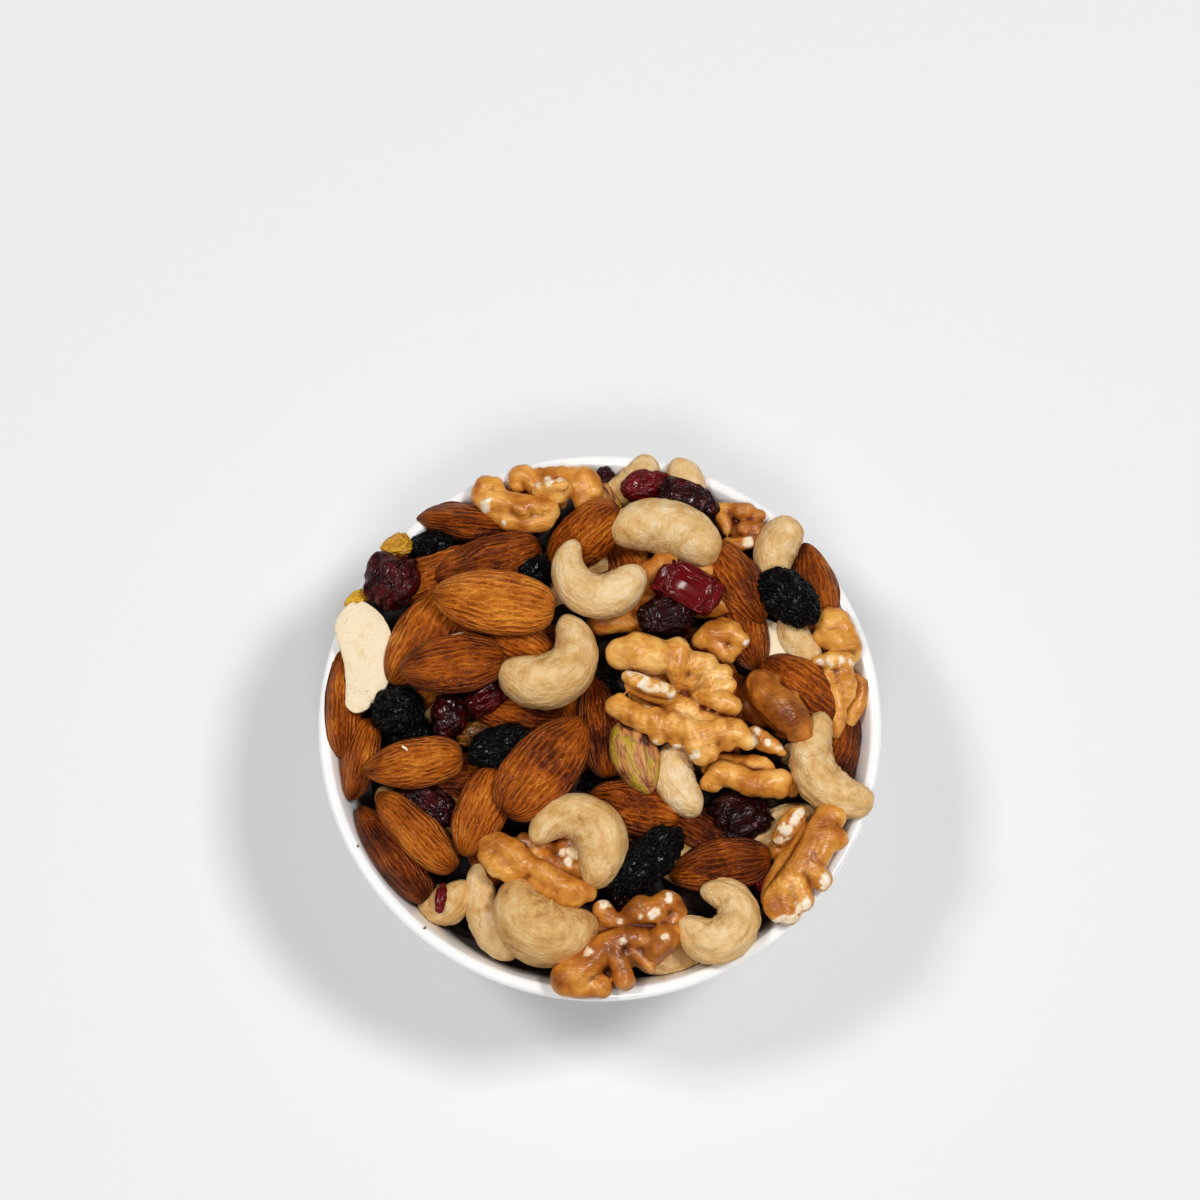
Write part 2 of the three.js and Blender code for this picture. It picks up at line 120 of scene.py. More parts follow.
def add_mix(tree, factor, first, second, blend="MIX"):
    """Two colours mixed; each of the three is a socket or a plain value."""
    mix = tree.nodes.new("ShaderNodeMix")
    mix.data_type = "RGBA"
    mix.blend_type = blend
    for socket, value in ((mix.inputs[0], factor), (mix.inputs[6], first), (mix.inputs[7], second)):
        if isinstance(value, bpy.types.NodeSocket):
            tree.links.new(value, socket)
        else:
            socket.default_value = value
    return mix.outputs[2]


def add_math(tree, operation, first, second=0.0, third=0.0):
    """A sum on sockets or plain numbers."""
    made = tree.nodes.new("ShaderNodeMath")
    made.operation = operation
    for socket, value in zip(made.inputs, (first, second, third)):
        if isinstance(value, bpy.types.NodeSocket):
            tree.links.new(value, socket)
        else:
            socket.default_value = value
    return made.outputs[0]


def add_bump(tree, shader, height, strength, distance):
    """Fine relief on the shader's surface."""
    bump = add_node(tree, "ShaderNodeBump", inputs={"Strength": strength, "Distance": distance})
    tree.links.new(height, bump.inputs["Height"])
    tree.links.new(bump.outputs["Normal"], shader.inputs["Normal"])
    return bump


bpy.ops.object.select_all(action="DESELECT")
bpy.ops.mesh.primitive_plane_add(size=6)
tabletop = bpy.context.object
tabletop.name = "tabletop"
paint, tree, shader = new_material("pale_tabletop")
shader.inputs["Base Color"].default_value = srgb(232, 232, 232)
shader.inputs["Roughness"].default_value = 0.9
shader.inputs["Specular IOR Level"].default_value = 0.1
tabletop.data.materials.append(paint)


def add_softbox(name, place, side, power):
    """A square light that faces the bowl."""
    toward = Vector((0, 0, BOWL_HEIGHT)) - Vector(place)
    bpy.ops.object.light_add(type="AREA", location=place, rotation=toward.to_track_quat("-Z", "Y").to_euler())
    light = bpy.context.object
    light.name = name
    light.data.size = side
    light.data.energy = power


add_softbox("main_light", (0.9, 0.12, 2.0), 0.4, 16.5)
add_softbox("left_light", (-0.9, 0.2, 2.0), 0.4, 11.5)
add_softbox("front_light", (0.0, -0.95, 1.9), 0.4, 8)
world = bpy.data.worlds.new("studio")
world.use_nodes = True
world.node_tree.nodes["Background"].inputs["Color"].default_value = (1, 1, 1, 1)
world.node_tree.nodes["Background"].inputs["Strength"].default_value = 0.22
bpy.context.scene.world = world

# ---------------------------------------------------------------------------------------------------
# The bowl
# One turned body of white porcelain with a foot ring and a rounded lip, glazed all over but for the
# foot it was fired on. It is drawn up ring by ring from the middle of its underside.
# ---------------------------------------------------------------------------------------------------

FOOT_RADIUS = 28 * MM
FOOT_WIDTH = 3 * MM
FOOT_HEIGHT = 3.5 * MM
BASE_THICKNESS = 4 * MM
BOWL_SIDES = 176

lip_middle = (RIM_RADIUS - LIP_THICKNESS / 2, BOWL_HEIGHT - LIP_THICKNESS / 2)


def curve(start, pull, end, steps):
    """Points of a wall, from its start to its end, drawn toward the pull."""
    share = np.linspace(0, 1, steps + 1)[:, None]
    start, pull, end = (np.array(p) for p in (start, pull, end))
    return (1 - share) ** 2 * start + 2 * share * (1 - share) * pull + share ** 2 * end


def arc(middle, radius, first, last, steps, squareness=1.0):
    """Points of a rounding, its angles in degrees; under 1, the squareness fills out its corners."""
    angles = np.radians(np.linspace(first, last, steps + 1))
    ways = np.stack((np.cos(angles), np.sin(angles)), axis=1)
    return np.array(middle) + radius * np.sign(ways) * np.abs(ways) ** squareness


outer_wall = curve((FOOT_RADIUS + 1.5 * MM, FOOT_HEIGHT), (RIM_RADIUS - 11 * MM, 12 * MM),
                   (RIM_RADIUS, lip_middle[1]), 20)
lip = arc(lip_middle, LIP_THICKNESS / 2, 0, 145, 16, 0.8)
flare_foot = (RIM_RADIUS - 5.8 * MM, BOWL_HEIGHT - 8.2 * MM)
inner_wall = np.concatenate((
    curve((FOOT_RADIUS - 6 * MM, FOOT_HEIGHT + BASE_THICKNESS), (RIM_RADIUS - 14.5 * MM, 14 * MM),
          flare_foot, 16),
    curve(flare_foot, (RIM_RADIUS - 4.7 * MM, BOWL_HEIGHT - 3.7 * MM), lip[-1], 8)[1:],
))
underside = FOOT_HEIGHT - 1.5 * MM
profile = np.concatenate((
    [(0.4 * MM, underside), (FOOT_RADIUS - FOOT_WIDTH - 1.2 * MM, underside)],
    arc((FOOT_RADIUS - FOOT_WIDTH, underside - 1 * MM), 1 * MM, 150, 190, 3),
    [(FOOT_RADIUS - FOOT_WIDTH + 0.1 * MM, 0.25 * MM), (FOOT_RADIUS - FOOT_WIDTH + 0.4 * MM, 0)],
    [(FOOT_RADIUS - 0.5 * MM, 0), (FOOT_RADIUS - 0.1 * MM, 0.25 * MM), (FOOT_RADIUS + 0.5 * MM, 2 * MM)],
    outer_wall[:-1],
    lip,
    inner_wall[::-1][1:],
    [(0.4 * MM, FOOT_HEIGHT + BASE_THICKNESS - 0.4 * MM)],
))

bpy.ops.object.select_all(action="DESELECT")
bpy.ops.mesh.primitive_circle_add(vertices=BOWL_SIDES, radius=profile[0][0], fill_type="NGON",
                                  location=(0, 0, profile[0][1]))
glazed_bowl = bpy.context.object
glazed_bowl.name = "glazed_bowl"
bpy.ops.object.mode_set(mode="EDIT")
bpy.ops.mesh.select_mode(type="EDGE")
bpy.ops.mesh.select_all(action="SELECT")
for (radius, height), (next_radius, next_height) in zip(profile, profile[1:]):
    bpy.ops.mesh.extrude_edges_move(TRANSFORM_OT_translate={"value": (0, 0, next_height - height)})
    bpy.ops.transform.resize(value=(next_radius / radius, next_radius / radius, 1))
bpy.ops.mesh.edge_face_add()
bpy.ops.mesh.select_all(action="SELECT")
bpy.ops.mesh.normals_make_consistent(inside=False)
bpy.ops.object.mode_set(mode="OBJECT")
bpy.ops.object.transform_apply(location=True, rotation=True, scale=True)
bpy.ops.object.shade_smooth_by_angle(angle=math.radians(40))

glaze, tree, shader = new_material("white_glaze")
place = add_node(tree, "ShaderNodeTexCoord").outputs["Object"]
clouding = add_node(tree, "ShaderNodeTexNoise", inputs={"Scale": 55, "Detail": 3})
tree.links.new(place, clouding.inputs["Vector"])
white = add_ramp(tree, clouding.outputs["Fac"], [(0.3, srgb(243, 243, 242)), (0.7, srgb(249, 249, 248))])
height = add_node(tree, "ShaderNodeSeparateXYZ")
tree.links.new(place, height.inputs["Vector"])
bare_clay = add_math(tree, "LESS_THAN", height.outputs["Z"], 0.3 * MM)
tree.links.new(add_mix(tree, bare_clay, white, srgb(226, 220, 208)), shader.inputs["Base Color"])
glaze_roughness = add_math(tree, "MULTIPLY_ADD", bare_clay, 0.55, 0.12)
tree.links.new(glaze_roughness, shader.inputs["Roughness"])
ripple = add_node(tree, "ShaderNodeTexNoise", inputs={"Scale": 240, "Detail": 2})
tree.links.new(place, ripple.inputs["Vector"])
add_bump(tree, shader, ripple.outputs["Fac"], 0.08, 0.3 * MM)
shader.inputs["Coat Weight"].default_value = 0.5
shader.inputs["Coat Roughness"].default_value = 0.06
glazed_bowl.data.materials.append(glaze)
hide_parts("bowl")
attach(glazed_bowl, "root")

# ---------------------------------------------------------------------------------------------------
# Almonds
# Whole brown kernels, blunt at one end and pointed at the other, with furrows that run from end to
# end. Each starts as a ball with its poles along its length and is laid where it shows in the heap.
# ---------------------------------------------------------------------------------------------------

# Column and row of the middle in the view, rise of the middle over the rim in mm, bearing of the tip
# (turn), lift of the tip (tilt), roll about the length, length, width and thickness in mm, and tone,
# which is 0 for the darkest skin and 1 for the palest.
ALMONDS = [
    (463, 521, -1, 175, 0, 70, 20, 12, 8, 0.35),
    (487, 562, 3, 198, 0, 20, 24, 12, 8, 0.30),
    (437, 577, 0, 200, 0, 10, 23, 12, 8, 0.60),
    (494, 602, 11, 172, 0, 0, 26, 13.8, 8, 0.85),
    (425, 636, 3, 235, 0, 0, 25, 13, 8, 0.65),
    (452, 664, 9, 188, 0, 0, 22, 12.3, 8, 0.45),
    (505, 640, 4, 156, 0, 0, 23, 11, 8, 0.55),
    (583, 539, 3, 215, -35, 0, 22, 12, 8.5, 0.55),
    (345, 705, -3, 90, 0, 75, 24, 12, 7.5, 0.60),
    (360, 759, -2, 258, 0, 60, 18, 10, 7, 0.55),
    (414, 763, 4, 189, 0, 0, 21, 10.5, 7.5, 0.70),
    (544, 767, 8, 51, 0, 0, 26, 15, 8, 0.45),
    (481, 812, 4, 248, 0, 0, 20, 11.5, 8, 0.60),
    (416, 832, 1, 134, 0, 35, 23, 10, 8, 0.65),
    (393, 854, -3, 126, 0, 70, 25, 12, 8.5, 0.25),
    (720, 866, 1, 190, 0, 0, 21.5, 11, 8, 0.30),
    (690, 828, -2, 150, 0, 0, 21, 11, 8, 0.15),
    (634, 808, 1, 165, 0, 0, 20, 12, 8, 0.40),
    (602, 728, 1, 100, 0, 0, 22, 11, 8, 0.30),
    (515, 712, 0, 170, 0, 0, 20, 11, 8, 0.35),
    (733, 584, 4, -55, 0, 20, 21, 12, 8, 0.50),
    (742, 628, 1, -70, 0, 0, 20, 10, 8, 0.35),
    (815, 588, -1, 100, 0, 0, 20, 10, 8, 0.50),
    (799, 690, 1, 142, 0, 0, 20, 13, 8, 0.45),
    (842, 752, -5, 75, 0, 60, 20, 11, 8, 0.25),
]

NUT_GAP = 0.12 * MM
NUT_OVERHANG = 1.5 * MM

draw = random.Random(11)


def place_seen(column, row, height):
    """The point at a height that shows at a column and row of the view."""
    ray = Vector((
        (column - BOWL_COLUMN) / PIXELS_PER_TAN,
        math.cos(axis_elevation),
        -math.sin(axis_elevation),
    ))
    up = Vector((0, math.sin(axis_elevation), math.cos(axis_elevation)))
    ray += up * ((VIEW_SIDE / 2 - row) / PIXELS_PER_TAN)
    return eye + ray * ((height - eye.z) / ray.z)


def seen_at(points):
    """The column and row at which points show in the view."""
    ahead = np.array((0, math.cos(axis_elevation), -math.sin(axis_elevation)))
    up = np.array((0, math.sin(axis_elevation), math.cos(axis_elevation)))
    away = points - np.array(eye)
    depth = away @ ahead
    return (BOWL_COLUMN + PIXELS_PER_TAN * away[:, 0] / depth,
            VIEW_SIDE / 2 - PIXELS_PER_TAN * (away @ up) / depth)


def deeper(count, longest, widest, thickest):
    """Rows for nuts that lie under those of the table: drawn places, low in the heap, and drawn turns."""
    rows = []
    for _ in range(count):
        out = 49 * MM * math.sqrt(draw.random())
        bearing = draw.uniform(0, 2 * math.pi)
        rise = 7 * (1 - (out / (50 * MM)) ** 2) - 7 + draw.uniform(-1.5, 1)
        spot = np.array([(out * math.cos(bearing), out * math.sin(bearing), BOWL_HEIGHT + rise * MM)])
        (column,), (line,) = seen_at(spot)
        size = draw.uniform(0.82, 1)
        rows.append((column, line, rise, draw.uniform(0, 360), draw.uniform(-12, 12), draw.uniform(-50, 50),
                     longest * size, widest * size, thickest * size))
    return rows


def clear_of_bowl(points):
    """Points pressed inside the bowl's wall, or up over its lip, by a hair's breadth."""
    radius = np.hypot(points[:, 0], points[:, 1])
    wall = np.interp(points[:, 2], inner_wall[:, 1], inner_wall[:, 0]) - NUT_GAP
    over = (points[:, 2] >= lip_middle[1]) | (radius > lip_middle[0])
    beyond = np.maximum(radius - RIM_RADIUS, 0)
    kept = np.where(over, radius - beyond ** 2 / (beyond + NUT_OVERHANG), np.minimum(radius, wall))
    share = kept / np.maximum(radius, 1e-9)
    bulge = (LIP_THICKNESS / 2 + NUT_GAP) ** 2 - (kept - lip_middle[0]) ** 2
    lip_top = lip_middle[1] + np.sqrt(np.maximum(bulge, 0))
    height = np.where(over, np.maximum(points[:, 2], lip_top), points[:, 2])
    return np.stack((points[:, 0] * share, points[:, 1] * share, height), axis=1)


def ball(around, along):
    """The points and faces of a ball of radius 1 with its poles along X."""
    bpy.ops.object.select_all(action="DESELECT")
    bpy.ops.mesh.primitive_uv_sphere_add(segments=around, ring_count=along, radius=1)
    made = bpy.context.object
    points = np.empty(len(made.data.vertices) * 3)
    made.data.vertices.foreach_get("co", points)
    faces = [tuple(face.vertices) for face in made.data.polygons]
    bpy.data.objects.remove(made)
    x, y, z = points.reshape(-1, 3).T
    return np.stack((z, y, -x), axis=1), faces


def relief(points, size, stretch=(1, 1, 1), seed=0.0, octaves=2):
    """Smooth noise at each point, about -1 to 1, with features of the size, drawn out by the stretch."""
    scaled = points / (np.array(stretch) * size) + seed
    return np.array([noise.fractal(Vector(p), 1.0, 2.0, octaves) for p in scaled])


def lay(points, row):
    """Points of a nut, in mm about its middle, turned and set down where the row says."""
    column, line, rise, turn, tilt, roll = row[:6]
    turned = Euler((math.radians(roll), 0, 0)).to_matrix()
    turned = Matrix.Rotation(math.radians(-tilt), 3, "Y") @ turned
    turned = Matrix.Rotation(math.radians(turn), 3, "Z") @ turned
    spot = place_seen(column, line, BOWL_HEIGHT + rise * MM)
    return clear_of_bowl(points * MM @ np.array(turned).T + np.array(spot))


def join_kind(name, nuts, material):
    """One mesh of all nuts of a kind. Each is (points, faces, grain, tone): grain is each point's
    place on its own nut, which the skin's pattern follows, and tone is how pale the skin is."""
    first = 0
    faces = []
    for points, nut_faces, _, _ in nuts:
        faces += [tuple(first + corner for corner in face) for face in nut_faces]
        first += len(points)
    mesh = bpy.data.meshes.new(name)
    mesh.from_pydata(np.concatenate([nut[0] for nut in nuts]).tolist(), [], faces)
    grain = mesh.attributes.new("grain", "FLOAT_VECTOR", "POINT")
    grain.data.foreach_set("vector", np.concatenate([nut[2] for nut in nuts]).ravel())
    tone = mesh.attributes.new("tone", "FLOAT", "POINT")
    tone.data.foreach_set("value", np.concatenate([nut[3] * np.ones(len(nut[0])) for nut in nuts]))
    mesh.shade_smooth()
    mesh.materials.append(material)
    kind = bpy.data.objects.new(name, mesh)
    bpy.context.collection.objects.link(kind)
    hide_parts("mixed_nuts")
    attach(kind, "root")
    return kind


def new_group(name, inputs, outputs):
    """A shader node group with named (name, kind, default) inputs and (name, kind) outputs."""
    group = bpy.data.node_groups.new(name, "ShaderNodeTree")
    for label, kind, value in inputs:
        socket = group.interface.new_socket(label, in_out="INPUT", socket_type="NodeSocket" + kind)
        if value is not None:
            socket.default_value = value
    for label, kind in outputs:
        group.interface.new_socket(label, in_out="OUTPUT", socket_type="NodeSocket" + kind)
    return group, group.nodes.new("NodeGroupInput"), group.nodes.new("NodeGroupOutput")


def use_group(tree, group, links, values):
    """The group placed in a material, with its inputs linked or set."""
    made = add_node(tree, "ShaderNodeGroup", node_tree=group, inputs=values)
    for label, source in links.items():
        tree.links.new(source, made.inputs[label])
    return made.outputs


# Lines that run along the nut, fine or coarse.
furrows, inside, outside = new_group(
    "furrows", [("Place", "Vector", None), ("Fineness", "Float", 1.0), ("Drawn Out", "Vector", (0.12, 1, 1))],
    [("Line", "Float")])
drawn = add_node(furrows, "ShaderNodeVectorMath", operation="MULTIPLY")
furrows.links.new(inside.outputs["Place"], drawn.inputs[0])
furrows.links.new(inside.outputs["Drawn Out"], drawn.inputs[1])
lines = add_node(furrows, "ShaderNodeTexNoise", inputs={"Detail": 2.5, "Roughness": 0.5, "Distortion": 0.8})
furrows.links.new(drawn.outputs[0], lines.inputs["Vector"])
furrows.links.new(inside.outputs["Fineness"], lines.inputs["Scale"])
furrows.links.new(lines.outputs["Fac"], outside.inputs["Line"])

# Loose specks of salt and skin dust.
flecks, inside, outside = new_group(
    "flecks", [("Place", "Vector", None), ("Fineness", "Float", 1.0), ("Share", "Float", 0.1)],
    [("Fleck", "Float")])
cells = add_node(flecks, "ShaderNodeTexVoronoi", feature="F1", inputs={"Randomness": 1.0})
patches = add_node(flecks, "ShaderNodeTexNoise", inputs={"Scale": 0.35, "Detail": 2})
flecks.links.new(inside.outputs["Place"], cells.inputs["Vector"])
flecks.links.new(inside.outputs["Fineness"], cells.inputs["Scale"])
flecks.links.new(inside.outputs["Place"], patches.inputs["Vector"])
reach = add_math(flecks, "MULTIPLY", patches.outputs["Fac"], inside.outputs["Share"])
flecks.links.new(add_math(flecks, "LESS_THAN", cells.outputs["Distance"], reach), outside.inputs["Fleck"])

brown_skin, tree, shader = new_material("almond_skin")
grain = add_node(tree, "ShaderNodeAttribute", attribute_name="grain").outputs["Vector"]
tone = add_node(tree, "ShaderNodeAttribute", attribute_name="tone").outputs["Fac"]
strands = add_node(tree, "ShaderNodeSeparateXYZ")
tree.links.new(add_node(tree, "ShaderNodeAttribute", attribute_name="strands").outputs["Vector"], strands.inputs[0])
threads = use_group(tree, furrows, {"Place": grain}, {"Fineness": 2.2, "Drawn Out": (0.35, 1, 1)})["Line"]
waves = [add_math(tree, "SINE", add_math(tree, "MULTIPLY", strands.outputs[axis], 2 * math.pi)) for axis in "XY"]
crests = add_math(tree, "MULTIPLY_ADD", add_math(tree, "ADD", *waves), 0.24, 0.42)
both = add_math(tree, "ADD", crests, add_math(tree, "MULTIPLY_ADD", threads, 1.6, -0.8))
cloud = add_node(tree, "ShaderNodeTexNoise", inputs={"Scale": 0.16, "Detail": 3})
tree.links.new(grain, cloud.inputs["Vector"])
toned = add_math(tree, "ADD", add_math(tree, "MULTIPLY", both, 0.3),
                 add_math(tree, "MULTIPLY_ADD", tone, 0.8, -0.08))
toned = add_math(tree, "ADD", toned, add_math(tree, "MULTIPLY_ADD", cloud.outputs["Fac"], 1.2, -0.6))
skin = add_ramp(tree, toned, [
    (0.00, srgb(74, 28, 6)),
    (0.25, srgb(124, 58, 12)),
    (0.55, srgb(180, 96, 20)),
    (1.00, srgb(232, 150, 56)),
])
dust = use_group(tree, flecks, {"Place": grain}, {"Fineness": 1.1, "Share": 0.16})["Fleck"]
skin = add_mix(tree, add_math(tree, "MULTIPLY", dust, 0.7), skin, srgb(232, 206, 172))
tree.links.new(skin, shader.inputs["Base Color"])
tree.links.new(add_math(tree, "MULTIPLY_ADD", both, -0.1, 0.40), shader.inputs["Roughness"])
add_bump(tree, shader, both, 1.0, 0.6 * MM)
shader.inputs["Specular IOR Level"].default_value = 0.28

ball_points, ball_faces = ball(52, 42)
almonds = []
strands = []
for row in ALMONDS + [row + (draw.uniform(0.2, 0.7),) for row in deeper(14, 24, 12.5, 8)]:
    long, wide, thick, tone_value = row[6:10]
    x, y, z = ball_points.T
    sharpness = draw.uniform(0.08, 0.26)
    taper = 1.03 * ((1 - x) / 2 + 0.5 - sharpness) ** (0.6 * sharpness + 0.08)
    taper *= (1 - x * x + 0.002) ** (-0.11 * (1 - x) / 2 - 0.02)
    seed = draw.uniform(0, 200)
    around = np.arctan2(y, z)
    own_place = np.stack((x * long / 2, 5 * np.sin(around), 5 * np.cos(around)), axis=1) + seed
    strands += [np.stack([around / (2 * math.pi) * count + 0.9 * relief(own_place, 3, (2, 1, 1), count)
                          for count in (29, 21, 0)], axis=1)]
    furrow = np.abs(relief(own_place, 2.0, (5, 1, 1)))
    waves = 0.55 * np.minimum(furrow, 0.4) + 0.35 * relief(own_place, 7)
    point_out = 0.02 * np.clip((x - 0.9) / 0.1, 0, 1) ** 2
    points = np.stack(((x + point_out) * long / 2, y * wide / 2 * taper, z * thick / 2 * taper), axis=1)
    points = points + ball_points * (waves * np.sqrt(np.maximum(0, 1 - x * x)))[:, None]
    almonds.append((lay(points, row), ball_faces, own_place, tone_value))
almond_pieces = join_kind("almonds", almonds, brown_skin)
attribute = almond_pieces.data.attributes.new("strands", "FLOAT_VECTOR", "POINT")
attribute.data.foreach_set("vector", np.concatenate(strands).ravel())

# ---------------------------------------------------------------------------------------------------
# Cashews
# Cream kernels bent like a bean, each of two halves that meet in a seam round the outside of the
# bend. A few are single halves with their flat side up. The hollow side faces 90 degrees from the turn.
# ---------------------------------------------------------------------------------------------------

# As for the almonds up to the roll, then length over all, fatness, bend in degrees, how much fatter the
# end that the turn points to is, how much of the upper half is there (1 for a whole nut, 0 for a split
# one), tone, and how wrinkled it is.
CASHEWS = [
    (592, 583, 10, -24, 0, 0, 22.5, 9.3, 150, 0.22, 1, 0.60, 0.35),
    (557, 667, 8, 40, 0, 0, 24.5, 11.5, 130, -0.20, 1, 0.42, 0.35),
    (667, 531, 6, 165, 0, 35, 24.5, 12.3, 80, -0.05, 1, 0.52, 0.3),
    (634, 483, -1, 40, 8, 0, 13, 8.6, 60, 0, 1, 0.40, 0.4),
    (682, 502, 1, 80, 6, 0, 20, 9, 50, 0, 1, 0.55, 0.4),
    (365, 658, 3, 94, 0, 0, 24.5, 11, 50, 0.28, 0.1, 1.40, 0.2),
    (448, 903, -4, 20, 30, 0, 12, 9, 40, 0, 1, 0.35, 0.6),
    (488, 912, -2, -72, 0, 40, 23, 8, 60, 0.15, 1, 0.55, 0.4),
    (541, 926, 3, -28, 0, 0, 21.5, 15.5, 60, 0, 1, 0.18, 0.3),
    (582, 832, 7, 143, 0, 0, 24, 11, 150, -0.22, 1, 0.38, 0.3),
    (677, 780, 3, -75, 0, 0, 17, 9, 60, 0, 1, 0.72, 0.4),
    (777, 551, 2, 250, 0, 0, 16, 9.4, 60, -0.1, 1, 0.50, 0.4),
    (773, 643, 1, -50, 0, 0, 11.5, 7.5, 30, 0, 0.1, 1.70, 0.4),
    (797, 640, 0, -60, 0, 0, 13, 7.5, 60, 0, 1, 0.50, 0.4),
    (825, 771, 3, -62, 0, 0, 26, 9.8, 105, 0.05, 1, 0.40, 1),
    (724, 922, 3, 60, 0, 0, 20, 10, 190, -0.2, 1, 0.50, 1),
    (670, 952, -5, 10, 0, 0, 18, 9, 60, 0, 1, 0.25, 0.6),
]

cream_kernel, tree, shader = new_material("cashew_kernel")
grain = add_node(tree, "ShaderNodeAttribute", attribute_name="grain").outputs["Vector"]
tone = add_node(tree, "ShaderNodeAttribute", attribute_name="tone").outputs["Fac"]
streaks = use_group(tree, furrows, {"Place": grain}, {"Fineness": 0.7, "Drawn Out": (0.35, 1, 1)})["Line"]
mottle = add_node(tree, "ShaderNodeTexNoise", inputs={"Scale": 0.3, "Detail": 5, "Roughness": 0.65})
tree.links.new(grain, mottle.inputs["Vector"])
both = add_math(tree, "ADD", add_math(tree, "MULTIPLY", streaks, 0.2),
                add_math(tree, "MULTIPLY", mottle.outputs["Fac"], 0.8))
toned = add_math(tree, "MULTIPLY_ADD", add_math(tree, "SUBTRACT", tone, 0.5), 0.35, both)
flesh = add_ramp(tree, toned, [
    (0.22, srgb(168, 122, 72)),
    (0.38, srgb(210, 166, 104)),
    (0.54, srgb(228, 194, 142)),
    (0.78, srgb(242, 224, 192)),
])
specks = use_group(tree, flecks, {"Place": grain}, {"Fineness": 0.8, "Share": 0.12})["Fleck"]
flesh = add_mix(tree, add_math(tree, "MULTIPLY", specks, 0.5), flesh, srgb(180, 126, 76))
creases = use_group(tree, furrows, {"Place": grain}, {"Fineness": 0.16, "Drawn Out": (1, 1, 1)})["Line"]
crease = add_math(tree, "LESS_THAN", add_math(tree, "ABSOLUTE", add_math(tree, "SUBTRACT", creases, 0.46)), 0.005)
flesh = add_mix(tree, add_math(tree, "MULTIPLY", crease, 0.25), flesh, srgb(150, 98, 50))
tree.links.new(flesh, shader.inputs["Base Color"])
shader.inputs["Roughness"].default_value = 0.46
shader.inputs["Subsurface Weight"].default_value = 0.05
shader.inputs["Subsurface Radius"].default_value = (1.0, 0.6, 0.3)
shader.inputs["Subsurface Scale"].default_value = 1.0 * MM
shader.inputs["Specular IOR Level"].default_value = 0.3
grit = add_node(tree, "ShaderNodeTexNoise", inputs={"Scale": 1.5, "Detail": 3, "Roughness": 0.6})
tree.links.new(grain, grit.inputs["Vector"])
add_bump(tree, shader, add_math(tree, "ADD", grit.outputs["Fac"], streaks), 0.55, 0.6 * MM)

ball_points, ball_faces = ball(52, 56)
cashews = []
buried = [row[:8] + (draw.uniform(50, 130), 0.1, 1, 0.3, 0.5) for row in deeper(9, 23, 9.5, 9)]
for row in CASHEWS + buried:
    long, fat, bend, swelling, upper_share, tone_value, wrinkled = row[6:13]
    x, y, z = ball_points.T
    half = math.radians(bend) / 2
    radius = (long - fat) / 2 / (1 if half > math.pi / 2 else math.sin(half))
    middle = radius * (1 + math.cos(half)) / 2
    seed = draw.uniform(0, 200)
    fullness = (1 - x * x + 1e-6) ** -0.15 * (1 + swelling * x)
    bearing = x * (half + fat / 2 / radius)
    seam = 0.05 * np.exp(-(y / 0.07) ** 2) * (z > 0)
    flesh = np.stack((x * long / 2, z * fat / 2, y * fat / 2), axis=1)
    folds = np.abs(relief(flesh, 2.6, (1, 1.6, 1.6), seed)) + 0.4 * relief(flesh, 1.3, (1, 1, 1), seed)
    lumps = 0.06 * relief(ball_points, 0.8, (1, 1, 1), seed) - 0.22 * wrinkled * (0.25 - np.minimum(folds, 0.5))
    swell = (1 - seam + lumps) * fullness * fat / 2
    out = radius + z * swell
    across = np.where(y > 0, y * upper_share, y) * swell
    points = np.stack((out * np.sin(bearing), middle - out * np.cos(bearing), across), axis=1)
    cashews.append((lay(points, row), ball_faces, flesh + seed, tone_value))
join_kind("cashews", cashews, cream_kernel)
